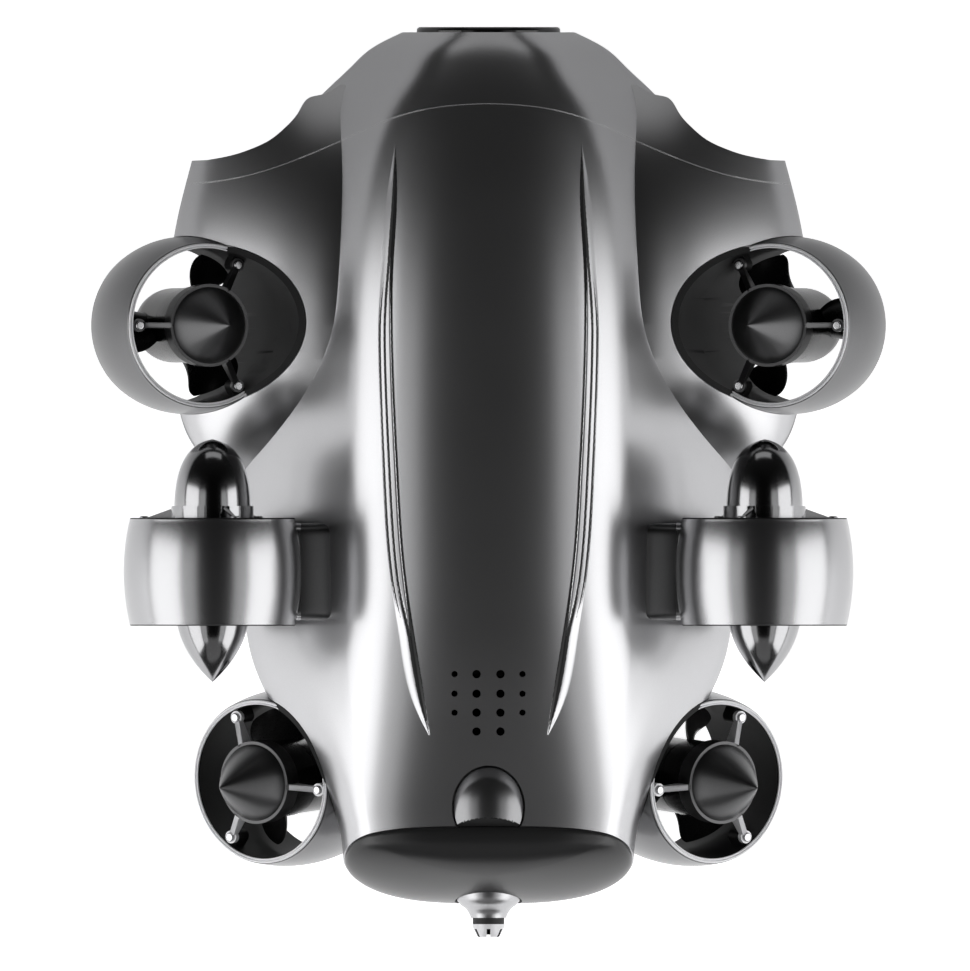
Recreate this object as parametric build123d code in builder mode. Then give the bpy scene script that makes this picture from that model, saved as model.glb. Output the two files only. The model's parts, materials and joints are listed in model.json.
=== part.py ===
from build123d import *
import math
import os

# Underwater inspection vehicle with six ducted thrusters, in millimetres
# X points to starboard, Y to the nose and Z up, and the origin is at the middle of the
# vehicle's footprint, on the surface that the flat belly rests on

# Hull wall and seats
wall = 2.4                 # shell thickness
seat_gap = 0.25            # clearance between a moulded seat and what sits in it
press_gap = 0.02           # clearance of a part that is pushed home
running_gap = 0.06         # radial clearance of a turning shaft

# Fairness of the barrel hull: station, half width, widest level, crown level, belly level, fullness
barrel_stations = [
    (188.0, 36.0, 66.0, 100.0, 34.0, 0.0),
    (182.0, 47.8, 65.0, 104.0, 27.0, 0.0),
    (174.0, 57.0, 63.0, 108.0, 21.0, 0.0),
    (162.0, 69.6, 60.0, 112.5, 14.0, 0.0),
    (140.0, 84.0, 57.0, 118.0, 5.0, 0.0),
    (105.0, 95.0, 54.0, 123.5, -3.0, 0.0),
    (60.0, 101.0, 53.0, 127.0, -4.0, 0.0),
    (0.0, 103.5, 53.0, 128.0, -4.0, 0.0),
    (-45.0, 102.5, 55.0, 126.0, -3.0, 0.0),
    (-75.0, 98.5, 60.0, 121.5, 3.0, 0.1),
    (-100.0, 86.0, 68.0, 115.5, 14.0, 0.35),
    (-120.0, 72.5, 74.0, 110.5, 24.0, 0.7),
    (-140.0, 63.5, 76.0, 105.5, 34.0, 1.0),
    (-160.0, 60.5, 76.0, 101.0, 42.0, 1.0),
    (-185.0, 60.0, 76.0, 98.0, 46.0, 1.0),
]
# Control points of the barrel's section, as shares of half width and of height
barrel_top = [(0, 1), (0.30, 1.0), (0.46, 0.931), (0.583, 0.72), (0.783, 0.377), (1.0, 0.07), (1, 0)]
barrel_full = [(0, 1), (0.40, 1.0), (0.62, 0.97), (0.80, 0.80), (0.95, 0.62), (1.0, 0.30), (1, 0)]
barrel_bottom = [(1, 0), (1, -0.30), (0.88, -0.62), (0.72, -0.78), (0.56, -0.94), (0.38, -1.0), (0, -1)]

# Shoulder fairness: station, outer half width, edge level, top level, underside level
shoulder_root = 30.0       # the shoulder's inner wall, buried in the barrel
shoulder_flat = 60.0       # where the shoulder's top starts to fall
shoulder_stations = [
    (168.0, 116.0, 55.0, 69.0, 30.0),
    (140.0, 122.5, 54.0, 86.0, 24.0),
    (115.0, 129.0, 53.0, 94.5, 20.0),
    (88.0, 133.5, 52.0, 98.5, 18.0),
    (62.0, 134.0, 51.0, 98.0, 18.0),
    (42.0, 131.5, 50.5, 91.0, 20.0),
    (25.0, 128.0, 50.0, 81.0, 24.0),
    (12.0, 121.0, 49.5, 71.0, 30.0),
    (2.0, 110.0, 49.0, 62.0, 36.0),
]
# Leading edge of the shoulder in plan, from the nose to the tip
shoulder_edge = [
    (62.0, 166.0), (69.6, 162.0), (75.3, 160.5), (79.6, 154.4), (84.6, 148.6), (91.1, 143.2),
    (98.4, 139.6), (105.5, 137.1), (117.8, 134.6),
]

# Seam between the front cowl and the two shells, in plan, and the parting level of the shells
cowl_seam = [(0.0, 158.4), (13.0, 157.8), (38.0, 153.0), (61.0, 143.2), (80.3, 135.0), (102.6, 127.9), (140.0, 124.0)]
parting_line = [(200.0, 52.0), (100.0, 52.0), (0.0, 52.0), (-50.0, 55.0), (-80.0, 61.0), (-110.0, 71.0),
                (-140.0, 76.0), (-200.0, 76.0)]

# Tail: the hull is cut by a plane that leans forward, and closed by a lens-shaped cap
tail_seat_y = -158.0
tail_seat_z = 76.0
tail_lean = math.degrees(math.atan(0.5))
cap_half_width = 62.0      # the dome at the level of the tail plane, a little past the cap's outline
cap_half_height = 37.0
cap_centre = -1.7          # its centre in the tail plane
cap_bulge = 12.5
cap_inset = 0.6            # how far the cap's edge stays inside the hull's skin
cap_spigot = 5.0
cap_stem_width = 50.0
cap_stem_height = 18.0
cap_stem_drop = 5.0        # keeps the stem below the port's well

# Gland for the tether, below the middle of the cap
gland_z = 61.0
gland_profile = [(14.0, -170.0), (13.4, -174.5), (10.2, -177.6), (8.2, -180.0), (7.4, -183.2)]
gland_bore = 2.2
collet_root = 6.9
collet_tip = 4.6
collet_from = -183.2
collet_to = -190.2
collet_slot = 1.5

# Domed port plug on the tail deck
port_y = -136.0
port_half_width = 14.4
port_half_length = 16.6
port_crown = 110.5
port_edge_drop = 5.5
port_floor = 90.0
port_gap = 0.9
port_wall = 2.0

# Camera in the nose
camera_z = 66.0
bezel_radius = 30.0
bezel_from = 174.0
bezel_front = 190.2
window_radius = 23.6
window_front = 188.6
window_thickness = 2.4
barrel_radius = 27.0
lens_radius = 11.0
bulkhead_front_y = 122.0

# Lamps in the front faces of the shoulders
lamp_x = 94.9
lamp_y = 138.7
lamp_z = 54.0
lamp_yaw = 28.8
lamp_radius = 12.0
lamp_depth = 20.0
lamp_rim = 1.8
lamp_glass = 2.0

# Pressure hull and what it holds
tube_radius = 36.0
tube_wall = 3.0
tube_z = 62.0
tube_rear_y = -76.0
bulkhead = 5.0
battery_size = (50.0, 150.0, 26.0)
board_size = (58.0, 140.0, 1.6)
board_rise = 8.0
cradle_thickness = 5.0
cradle_stations = (84.0, -40.0)
cradle_width = 60.0
spigot = 6.0
flange_over = 2.0
post_radius = 3.0

# Thruster, along its own axis: zero is the guard side's rim, and the duct runs to minus duct_length
duct_length = 45.1
duct_bore = 32.2
duct_end_radius = 34.7
duct_mid_radius = 37.2
pod_radius = 16.0
pod_rear = -18.0
nose_tilted = 29.5         # how far the nose stands out of a front or rear duct
nose_level = 32.9          # the same for the two middle ducts
nose_from = 4.0            # where a nose starts to taper
taper_tilted = (0.15, 0.42, 0.35)   # side fullness, tip width and tip fullness of a pointed nose
taper_level = (0.55, 0.72, 0.06)    # the same for the rounder noses of the middle ducts
spinner_tip = -68.6
spinner_from = -38.0
hub_radius = 15.6
hub_gap = 0.5
shaft_radius = 2.5
shaft_front = -4.0
shaft_rear = -52.0
blade_count = 3
blade_tip_radius = 30.6
blade_level = -28.0
blade_root_chord = 19.0
blade_tip_chord = 27.0
blade_root_thickness = 3.0
blade_tip_thickness = 1.5
blade_edge = 0.3           # half the thickness left at a blade's two edges
blade_root_pitch = 52.0
blade_tip_pitch = 27.0
rim_height = 0.9
rim_inner = 32.4
rim_outer = 34.3

# Guard that carries the motor pod
collar_outer = 17.3
collar_from = -3.0
collar_to = 5.0
leg_count = 3
leg_width = 2.4
pad_radius = 2.7
pad_circle = 29.2
pad_top = -0.4
pad_thickness = 2.2
lug_depth = 7.0
screw_radius = 1.2
screw_head_radius = 1.9
screw_head_height = 1.2
screw_length = 6.5

# Where the thrusters stand on the port side: rim centre, axis to the guard side, turn of the guard's legs
front_seat = (-118.3, 65.5, 82.6)
front_tilt = 20.0
rear_seat = (-95.1, -125.2, 61.0)
rear_tilt = 36.6
rear_yaw = 8.9
middle_seat = (-115.4, -15.0, 100.0)
pylon_root_x = 50.0
pylon_z = 98.0
pylon_thickness = 16.0
pylon_trim = 2.2           # how far the pylon stays back from each end of the duct

seam_gap = 0.3             # shadow gap between the cowl and the two shells

# Vents, ribs and underside
vent_rows = [-80.3, -88.5, -96.4, -104.3]
vent_columns = [(5.0, 1.7), (14.2, 1.25)]
vent_last = 4              # the row that has only the inner pair
rib_height = 0.9
groove_width = 0.08        # share of the rib's width
groove_from = 70.0
groove_to = -50.0
rib_outer = [(-38.9, 142.5), (-43.3, 117.0), (-45.8, 82.8), (-46.2, 57.3), (-44.9, 23.2), (-42.4, -10.9),
             (-36.4, -62.1), (-29.6, -96.1), (-25.3, -104.8)]
rib_inner = [(-38.9, 142.5), (-38.1, 117.0), (-39.5, 91.5), (-39.8, 65.8), (-38.9, 31.8), (-36.9, -2.4),
             (-32.1, -62.1), (-27.9, -87.7), (-25.3, -104.8)]
insert_stations = (56.0, -16.0)
insert_radius = 6.0
insert_bore = 3.175
insert_height = 10.0
insert_boss = 9.0
belly_screw_x = 40.0
belly_screw_stations = (104.0, 20.0, -56.0)
belly_screw_radius = 1.5
belly_head_radius = 2.8
belly_head_height = 1.8
belly_boss_radius = 4.6
belly_boss_height = 12.0

# Span of the tools that trim the hull
reach = 260.0


def barrel_solid(inset):
    """The barrel hull as a loft through its stations, inset from the outside by a distance."""
    with BuildPart() as solid:
        for y, half, widest, crown, belly, full in barrel_stations:
            shares = [(u + full * (p - u), v + full * (q - v)) for (u, v), (p, q) in zip(barrel_top, barrel_full)]
            top = [(u * (half - inset), widest + v * (crown - inset - widest)) for u, v in shares]
            low = [(u * (half - inset), widest + v * (widest - belly - inset)) for u, v in barrel_bottom]
            top_port = [(-x, z) for x, z in reversed(top)]
            low_port = [(-x, z) for x, z in reversed(low)]
            with BuildSketch(Plane(origin=(0, y, 0), x_dir=(1, 0, 0), z_dir=(0, -1, 0))):
                with BuildLine():
                    for curve in (top, low, low_port, top_port):
                        Bezier(*curve[0:4])
                        Bezier(*curve[3:7])
                make_face()
        loft()
    return solid.part


def shoulder_solid(inset):
    """The port shoulder as a loft along the hull, before its leading edge is trimmed."""
    root = -shoulder_root
    with BuildPart() as solid:
        for y, half, edge, top, under in shoulder_stations:
            outer = -(half - inset)
            flat = -shoulder_flat
            high = top - inset
            low = under + inset
            run = outer - flat
            with BuildSketch(Plane(origin=(0, y, 0), x_dir=(1, 0, 0), z_dir=(0, -1, 0))):
                with BuildLine():
                    Line((root, high), (flat, high))
                    Bezier((flat, high), (flat + 0.45 * run, high),
                           (outer, edge + 0.33 * (high - edge)), (outer, edge))
                    Bezier((outer, edge), (outer, edge - 0.45 * (edge - low)),
                           (flat + 0.62 * run, low), (flat, low))
                    Line((flat, low), (root, low))
                    Line((root, low), (root, high))
                make_face()
        loft()
    return solid.part


def shoulder_outline(inset):
    """The plan shape that trims the shoulder's leading edge, extruded through the hull."""
    edge = [(-x, y - inset) for x, y in shoulder_edge]
    tip_x = edge[-1][0]
    tip_y = edge[-1][1]
    with BuildPart() as solid:
        with BuildSketch(Plane.XY.offset(-reach)):
            with BuildLine():
                Spline(*edge)
                Line(edge[-1], (-reach, tip_y - 6.0))
                Line((-reach, tip_y - 6.0), (-reach, -reach))
                Line((-reach, -reach), (0, -reach))
                Line((0, -reach), (0, edge[0][1]))
                Line((0, edge[0][1]), edge[0])
            make_face()
        extrude(amount=2 * reach)
    return solid.part


def hull_solid(inset):
    """Barrel and both shoulders as one solid, flat under the belly and open to the tail plane."""
    with BuildPart() as shoulder:
        add(shoulder_solid(inset))
        add(shoulder_outline(inset), mode=Mode.INTERSECT)
    with BuildPart() as solid:
        add(barrel_solid(inset))
        add(shoulder.part)
        mirror(shoulder.part, about=Plane.YZ)
        with Locations((0, 0, inset)):
            Box(2 * reach, 2 * reach, reach, align=(Align.CENTER, Align.CENTER, Align.MIN), mode=Mode.INTERSECT)
    return solid.part


tail_plane = Plane(origin=(0, tail_seat_y, tail_seat_z), x_dir=(1, 0, 0),
                   z_dir=(0, -math.cos(math.radians(tail_lean)), math.sin(math.radians(tail_lean))))


def behind_tail(offset):
    """Everything aft of the tail plane, moved along its normal by an offset."""
    with BuildPart() as solid:
        with BuildSketch(tail_plane.offset(offset)):
            Rectangle(2 * reach, 2 * reach)
        extrude(amount=reach)
    return solid.part


with BuildPart() as hull_outer:
    add(hull_solid(0))
    add(behind_tail(0), mode=Mode.SUBTRACT)

with BuildPart() as hull_cavity:
    add(hull_solid(wall))
    # The nose wall stays closed in front of the camera
    with Locations((0, barrel_stations[0][0] - wall, 0)):
        Box(2 * reach, reach, 2 * reach, align=(Align.CENTER, Align.MIN, Align.CENTER), mode=Mode.SUBTRACT)


def thruster_plane(seat, axis, leg):
    """A frame at a duct's rim: Z along the axis to the guard side, X towards one guard leg."""
    return Plane(origin=seat, x_dir=leg, z_dir=axis)


def flipped(vector):
    """A port side vector, seen in the mirror of the centre plane."""
    return (-vector[0], vector[1], vector[2])


front_axis = (math.sin(math.radians(front_tilt)), 0.0, math.cos(math.radians(front_tilt)))
front_leg = (-front_axis[2], 0.0, front_axis[0])
rear_out = math.sin(math.radians(rear_tilt))
rear_axis = (-rear_out * math.cos(math.radians(rear_yaw)), -rear_out * math.sin(math.radians(rear_yaw)),
             math.cos(math.radians(rear_tilt)))
rear_in = Vector(*rear_axis).cross(Vector(0, 1, 0)).cross(Vector(*rear_axis)).normalized()
rear_side = Vector(*rear_axis).cross(rear_in)
leg_turn = math.radians(67.0)
rear_leg_vector = rear_side * math.cos(leg_turn) + rear_in * math.sin(leg_turn)
rear_leg = (rear_leg_vector.X, rear_leg_vector.Y, rear_leg_vector.Z)
middle_axis = (0.0, 1.0, 0.0)
middle_lean = math.radians(19.0)
middle_leg = (math.sin(middle_lean), 0.0, math.cos(middle_lean))

pointed = (nose_tilted, taper_tilted)
rounder = (nose_level, taper_level)
thrusters = {
    "front_left": (thruster_plane(front_seat, front_axis, front_leg), pointed),
    "front_right": (thruster_plane(flipped(front_seat), flipped(front_axis), flipped(front_leg)), pointed),
    "middle_left": (thruster_plane(middle_seat, middle_axis, middle_leg), rounder),
    "middle_right": (thruster_plane(flipped(middle_seat), middle_axis, flipped(middle_leg)), rounder),
    "rear_left": (thruster_plane(rear_seat, rear_axis, rear_leg), pointed),
    "rear_right": (thruster_plane(flipped(rear_seat), flipped(rear_axis), flipped(rear_leg)), pointed),
}

# Duct, in its own frame: a crowned ring with three lugs for the guard
crown_sag = 0.8
with BuildPart() as duct_ring:
    with BuildSketch(Plane.XZ):
        with BuildLine():
            Line((duct_bore, 0), (duct_end_radius - crown_sag, 0))
            Line((duct_end_radius - crown_sag, 0), (duct_end_radius, -crown_sag))
            ThreePointArc((duct_end_radius, -crown_sag), (duct_mid_radius, -duct_length / 2),
                          (duct_end_radius, -duct_length + crown_sag))
            Line((duct_end_radius, -duct_length + crown_sag), (duct_end_radius - crown_sag, -duct_length))
            Line((duct_end_radius - crown_sag, -duct_length), (duct_bore, -duct_length))
            Line((duct_bore, -duct_length), (duct_bore, 0))
        make_face()
    revolve(axis=Axis.Z)

with BuildPart() as duct_lug:
    with BuildSketch(Plane.XY.offset(pad_top - pad_thickness)):
        with Locations((pad_circle, 0)):
            Circle(pad_radius)
        with Locations(((pad_circle + duct_bore) / 2 + 0.6, 0)):
            Rectangle(duct_bore - pad_circle + 1.2, 2 * pad_radius)
    extrude(amount=-lug_depth)
    with BuildSketch(Plane.XY.offset(pad_top - pad_thickness)):
        with Locations((pad_circle, 0)):
            Circle(screw_radius + press_gap)
    extrude(amount=-lug_depth, mode=Mode.SUBTRACT)

with BuildPart() as level_duct:
    add(duct_ring.part)
    with PolarLocations(0, leg_count):
        add(duct_lug.part)

# Guard: a collar around the pod and three legs that run down to pads on the duct's lugs
with BuildPart() as guard_leg:
    with BuildSketch(Plane.XZ):
        with BuildLine():
            Polyline((pod_radius + 0.8, collar_to - 1.0), (pod_radius + 0.8, collar_from + 0.6),
                     (pad_circle - 3.0, pad_top - pad_thickness), (pad_circle, pad_top - pad_thickness),
                     (pad_circle, pad_top), (pod_radius + 0.8, collar_to - 1.0))
        make_face()
    extrude(amount=leg_width / 2, both=True)
    with BuildSketch(Plane.XY.offset(pad_top - pad_thickness)):
        with Locations((pad_circle, 0)):
            Circle(pad_radius)
    extrude(amount=pad_thickness)
    with BuildSketch(Plane.XY.offset(pad_top)):
        with Locations((pad_circle, 0)):
            Circle(screw_head_radius + seat_gap)
    extrude(amount=lug_depth, mode=Mode.SUBTRACT)
    with BuildSketch(Plane.XY.offset(pad_top - pad_thickness)):
        with Locations((pad_circle, 0)):
            Circle(screw_radius + press_gap)
    extrude(amount=pad_thickness, mode=Mode.SUBTRACT)

with BuildPart() as level_guard:
    with BuildSketch(Plane.XY.offset(collar_from)):
        Circle(collar_outer)
        Circle(pod_radius + press_gap, mode=Mode.SUBTRACT)
    extrude(amount=collar_to - collar_from)
    with PolarLocations(0, leg_count):
        add(guard_leg.part)
    with BuildSketch(Plane.XY.offset(collar_from)):
        Circle(pod_radius + press_gap)
    extrude(amount=collar_to - collar_from, mode=Mode.SUBTRACT)

with BuildPart() as guard_screw:
    with BuildSketch(Plane.XY.offset(pad_top)):
        Circle(screw_head_radius)
    extrude(amount=screw_head_height)
    fillet(guard_screw.edges().group_by(Axis.Z)[-1], screw_head_height / 2)
    with BuildSketch(Plane.XY.offset(pad_top)):
        Circle(screw_radius)
    extrude(amount=-screw_length)

with BuildPart() as level_screws:
    with PolarLocations(pad_circle, leg_count):
        add(guard_screw.part)


def motor_pod(nose, taper):
    """The pod in the thruster's frame: an ogive nose, a barrel and a blind bore for the shaft."""
    side, tip_width, tip_length = taper
    taper_length = nose - nose_from
    with BuildPart() as pod:
        with BuildSketch(Plane.XZ):
            with BuildLine():
                Line((0, pod_rear), (pod_radius, pod_rear))
                Line((pod_radius, pod_rear), (pod_radius, nose_from))
                Bezier((pod_radius, nose_from), (pod_radius, nose_from + side * taper_length),
                       (tip_width * pod_radius, nose - tip_length * taper_length), (0, nose))
                Line((0, nose), (0, pod_rear))
            make_face()
        revolve(axis=Axis.Z)
        with BuildSketch(Plane.XY.offset(pod_rear)):
            Circle(shaft_radius + running_gap)
        extrude(amount=shaft_front - pod_rear + seat_gap, mode=Mode.SUBTRACT)
    return pod.part


# Propeller: a hub, a pointed spinner and three broad twisted blades
with BuildPart() as blade:
    for radius, chord, thickness, pitch in (
        (hub_radius - 4.0, blade_root_chord, blade_root_thickness, blade_root_pitch),
        (blade_tip_radius + 2.0, blade_tip_chord, blade_tip_thickness, blade_tip_pitch),
    ):
        turn = math.radians(pitch)
        with BuildSketch(Plane(origin=(radius, 0, blade_level), x_dir=(0, math.cos(turn), math.sin(turn)),
                               z_dir=(1, 0, 0))):
            with BuildLine():
                ThreePointArc((chord / 2, blade_edge), (0, thickness / 2), (-chord / 2, blade_edge))
                Line((-chord / 2, blade_edge), (-chord / 2, -blade_edge))
                ThreePointArc((-chord / 2, -blade_edge), (0, -thickness / 2), (chord / 2, -blade_edge))
                Line((chord / 2, -blade_edge), (chord / 2, blade_edge))
            make_face()
    loft(ruled=True)
    with BuildSketch(Plane.XY.offset(blade_level - duct_length)):
        Circle(blade_tip_radius)
    extrude(amount=2 * duct_length, mode=Mode.INTERSECT)

with BuildPart() as level_propeller:
    hub_front = pod_rear - hub_gap
    with BuildSketch(Plane.XZ):
        with BuildLine():
            Line((0, hub_front), (hub_radius, hub_front))
            Line((hub_radius, hub_front), (hub_radius, spinner_from))
            Bezier((hub_radius, spinner_from), (hub_radius, spinner_from + 0.45 * (spinner_tip - spinner_from)),
                   (0.45 * hub_radius, spinner_from + 0.80 * (spinner_tip - spinner_from)), (0, spinner_tip))
            Line((0, spinner_tip), (0, hub_front))
        make_face()
    revolve(axis=Axis.Z)
    with PolarLocations(0, blade_count):
        add(blade.part)
    with BuildSketch(Plane.XY.offset(hub_front)):
        Circle(shaft_radius + press_gap)
    extrude(amount=shaft_rear - hub_front - seat_gap, mode=Mode.SUBTRACT)

with BuildPart() as level_shaft:
    with BuildSketch(Plane.XY.offset(shaft_rear)):
        Circle(shaft_radius)
    extrude(amount=shaft_front - shaft_rear)

# The space that a duct takes out of the hull, and the liner that fills it
with BuildPart() as duct_envelope:
    with BuildSketch(Plane.XZ):
        with BuildLine():
            Line((0, reach / 3), (duct_end_radius + seat_gap, reach / 3))
            Line((duct_end_radius + seat_gap, reach / 3), (duct_end_radius + seat_gap, seat_gap))
            ThreePointArc((duct_end_radius + seat_gap, seat_gap), (duct_mid_radius + seat_gap, -duct_length / 2),
                          (duct_end_radius + seat_gap, -duct_length - seat_gap))
            Line((duct_end_radius + seat_gap, -duct_length - seat_gap), (duct_end_radius + seat_gap, -reach / 2))
            Line((duct_end_radius + seat_gap, -reach / 2), (0, -reach / 2))
            Line((0, -reach / 2), (0, reach / 3))
        make_face()
    revolve(axis=Axis.Z)

with BuildPart() as duct_liner:
    with BuildSketch(Plane.XY.offset(-reach / 2)):
        Circle(duct_end_radius)
        Circle(duct_bore, mode=Mode.SUBTRACT)
    extrude(amount=reach / 2 + reach / 3)

with BuildPart() as level_rim:
    with BuildSketch(Plane.XY):
        Circle(rim_outer)
        Circle(rim_inner, mode=Mode.SUBTRACT)
    extrude(amount=rim_height)

# Pylon that carries the port middle duct, cut to the hull and bored for the duct's ring
with BuildPart() as pylon:
    chord = duct_length - 2 * pylon_trim
    pylon_tip_x = middle_seat[0] + duct_bore
    with BuildSketch(Plane(origin=(0, middle_seat[1] - pylon_trim, 0), x_dir=(1, 0, 0), z_dir=(0, -1, 0))):
        with Locations(((-pylon_root_x + pylon_tip_x) / 2, pylon_z)):
            Rectangle(abs(pylon_tip_x) - pylon_root_x, pylon_thickness)
    extrude(amount=chord)
    fillet(pylon.edges().filter_by(Axis.X), pylon_thickness / 3)
    with BuildSketch(Plane(origin=(middle_seat[0], middle_seat[1] + 1, middle_seat[2]), x_dir=(1, 0, 0),
                           z_dir=(0, -1, 0))):
        Circle(duct_bore + 0.6)
    extrude(amount=duct_length + 2, mode=Mode.SUBTRACT)
    add(barrel_solid(-seat_gap / 2), mode=Mode.SUBTRACT)

names = {}


def write(part, name):
    """Labels a finished piece and writes it to its own file."""
    part.label = name
    os.makedirs("parts", exist_ok=True)
    export_step(part, "parts/" + name + ".step")
    names[name] = part


shell_cutters = []
for side, (seat, nose) in thrusters.items():
    tilted = not side.startswith("middle")
    if tilted:
        with BuildPart() as bore_cut:
            with Locations(seat.location):
                add(duct_envelope.part)
        shell_cutters.append(bore_cut.part)
    with BuildPart() as duct:
        with Locations(seat.location):
            if tilted:
                add(duct_liner.part)
        if tilted:
            add(hull_outer.part, mode=Mode.INTERSECT)
        with Locations(seat.location):
            add(level_duct.part)
        if side == "middle_left":
            add(pylon.part)
        if side == "middle_right":
            mirror(pylon.part, about=Plane.YZ)
    write(duct.part, side + "_duct")
    with BuildPart() as guard:
        with Locations(seat.location):
            add(level_guard.part)
    write(guard.part, side + "_guard")
    pod_piece = motor_pod(*nose)
    with BuildPart() as pod:
        with Locations(seat.location):
            add(pod_piece)
    write(pod.part, side + "_motor_pod")
    with BuildPart() as propeller:
        with Locations(seat.location):
            add(level_propeller.part)
    write(propeller.part, side + "_propeller")
    with BuildPart() as shaft:
        with Locations(seat.location):
            add(level_shaft.part)
    write(shaft.part, side + "_shaft")
    if tilted:
        with BuildPart() as rim:
            with Locations(seat.location):
                add(level_rim.part)
            add(hull_outer.part, mode=Mode.SUBTRACT)
        write(rim.part, side + "_rim")

with BuildPart() as guard_screws:
    for seat, nose in thrusters.values():
        with Locations(seat.location):
            add(level_screws.part)
write(guard_screws.part, "guard_screws")


def along_y(profile, x, z):
    """Turns a closed profile of (radius, distance) points about an axis that runs to the nose."""
    frame = Plane(origin=(x, 0, z), x_dir=(1, 0, 0), z_dir=(0, 0, 1))
    with BuildPart() as turned:
        with BuildSketch(frame):
            with BuildLine():
                Polyline(*profile, close=True)
            make_face()
        revolve(axis=Axis((x, 0, z), (0, 1, 0)))
    return turned.part


def prism(points, low, high):
    """A plan shape between two closed splines' ends, extruded between two levels."""
    with BuildPart() as solid:
        with BuildSketch(Plane.XY.offset(low)):
            with BuildLine():
                Spline(*points[0])
                Spline(*points[1])
            make_face()
        extrude(amount=high - low)
    return solid.part


# Cutting tools for the seams: everything ahead of the cowl seam, and everything above the parting line
def ahead_of_seam(shift):
    """Everything ahead of the cowl seam, which is moved aft by a shift."""
    edge = [(x, y - shift) for x, y in cowl_seam]
    both = [(-x, y) for x, y in reversed(edge[1:])] + edge
    with BuildPart() as solid:
        with BuildSketch(Plane.XY.offset(-reach)):
            with BuildLine():
                Spline(*both)
                Polyline(both[-1], (edge[-1][0], reach), (-edge[-1][0], reach), both[0])
            make_face()
        extrude(amount=2 * reach)
    return solid.part


def above_parting(shift):
    """Everything above the parting line, which is lifted by a shift."""
    edge = [(y, z + shift) for y, z in parting_line]
    with BuildPart() as solid:
        with BuildSketch(Plane.YZ.offset(-reach)):
            with BuildLine():
                Spline(*edge)
                Polyline(edge[-1], (edge[-1][0], reach), (edge[0][0], reach), edge[0])
            make_face()
        extrude(amount=2 * reach)
    return solid.part


def port_ellipse(grow, low, high):
    """The port's oval, grown by a margin, as an upright column."""
    with BuildPart() as solid:
        with BuildSketch(Plane.XY.offset(low)):
            with Locations((0, port_y)):
                Ellipse(port_half_width + grow, port_half_length + grow)
        extrude(amount=high - low)
    return solid.part


def lamp_frame(side):
    """A frame at a lamp's face, with Z along its beam."""
    turn = math.radians(lamp_yaw)
    return Plane(origin=(side * lamp_x, lamp_y, lamp_z), x_dir=(0, 0, 1),
                 z_dir=(side * math.sin(turn), math.cos(turn), 0))


# Hull wall, with the openings for ducts, camera and lamps
with BuildPart() as wall_openings:
    for cutter in shell_cutters:
        add(cutter)
    add(along_y([(0, bezel_from - 20), (bezel_radius + seat_gap, bezel_from - 20),
                 (bezel_radius + seat_gap, reach), (0, reach)], 0, camera_z))
    for side in (-1, 1):
        with BuildSketch(lamp_frame(side).offset(-lamp_depth)):
            Circle(lamp_radius + seat_gap / 2)
        extrude(amount=2 * lamp_depth)

with BuildPart() as hull_wall:
    add(hull_outer.part)
    add(hull_cavity.part, mode=Mode.SUBTRACT, clean=False)
    add(wall_openings.part, mode=Mode.SUBTRACT, clean=False)

with BuildPart() as front_cowl:
    add(hull_wall.part)
    add(ahead_of_seam(0), mode=Mode.INTERSECT)
write(front_cowl.part, "front_cowl")

# Top shell: ribs beside the spine, vents, and the well of the port plug
rib_pairs = list(zip(rib_inner, rib_outer))


def rib_line(share):
    """A line along the rib at a share of its width, over the grooved stretch."""
    return [(a[0] + share * (b[0] - a[0]), a[1] + share * (b[1] - a[1])) for a, b in rib_pairs
            if groove_to - 30 < a[1] < groove_from + 30]


with BuildPart() as rib_grooves:
    for middle in (0.25, 0.5, 0.75):
        near = rib_line(middle - groove_width / 2)
        far = rib_line(middle + groove_width / 2)
        with BuildSketch(Plane.XY.offset(90)):
            with BuildLine():
                Spline(*near)
                Spline(*far)
                Line(near[0], far[0])
                Line(near[-1], far[-1])
            make_face()
    extrude(amount=reach)

with BuildPart() as rib:
    add(prism((rib_inner, rib_outer), 90, reach))
    add(rib_grooves.part, mode=Mode.SUBTRACT)
    add(barrel_solid(-rib_height), mode=Mode.INTERSECT)
    add(barrel_solid(wall / 2), mode=Mode.SUBTRACT)

with BuildPart() as port_well:
    add(port_ellipse(seat_gap + port_wall, port_floor - port_wall, port_crown))
    add(barrel_solid(wall / 2), mode=Mode.INTERSECT)

with BuildPart() as deck_cuts:
    add(port_ellipse(seat_gap, port_floor, reach))
    add(port_ellipse(port_gap, port_floor + 6, reach))
    with BuildSketch(Plane.XY.offset(port_floor + 4)):
        for row, y in enumerate(vent_rows, start=1):
            for x, radius in vent_columns[:1] if row == vent_last else vent_columns:
                with Locations((x, y), (-x, y)):
                    Circle(radius)
    extrude(amount=reach)

with BuildPart() as top_shell:
    add(hull_wall.part)
    add(ahead_of_seam(seam_gap), mode=Mode.SUBTRACT, clean=False)
    add(above_parting(seam_gap / 2), mode=Mode.INTERSECT, clean=False)
    add([rib.part, rib.part.mirror(Plane.YZ), port_well.part], clean=False)
    add([deck_cuts.part, behind_tail(0)], mode=Mode.SUBTRACT)
write(top_shell.part, "top_shell")
print("top shell", len(top_shell.solids()))

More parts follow.
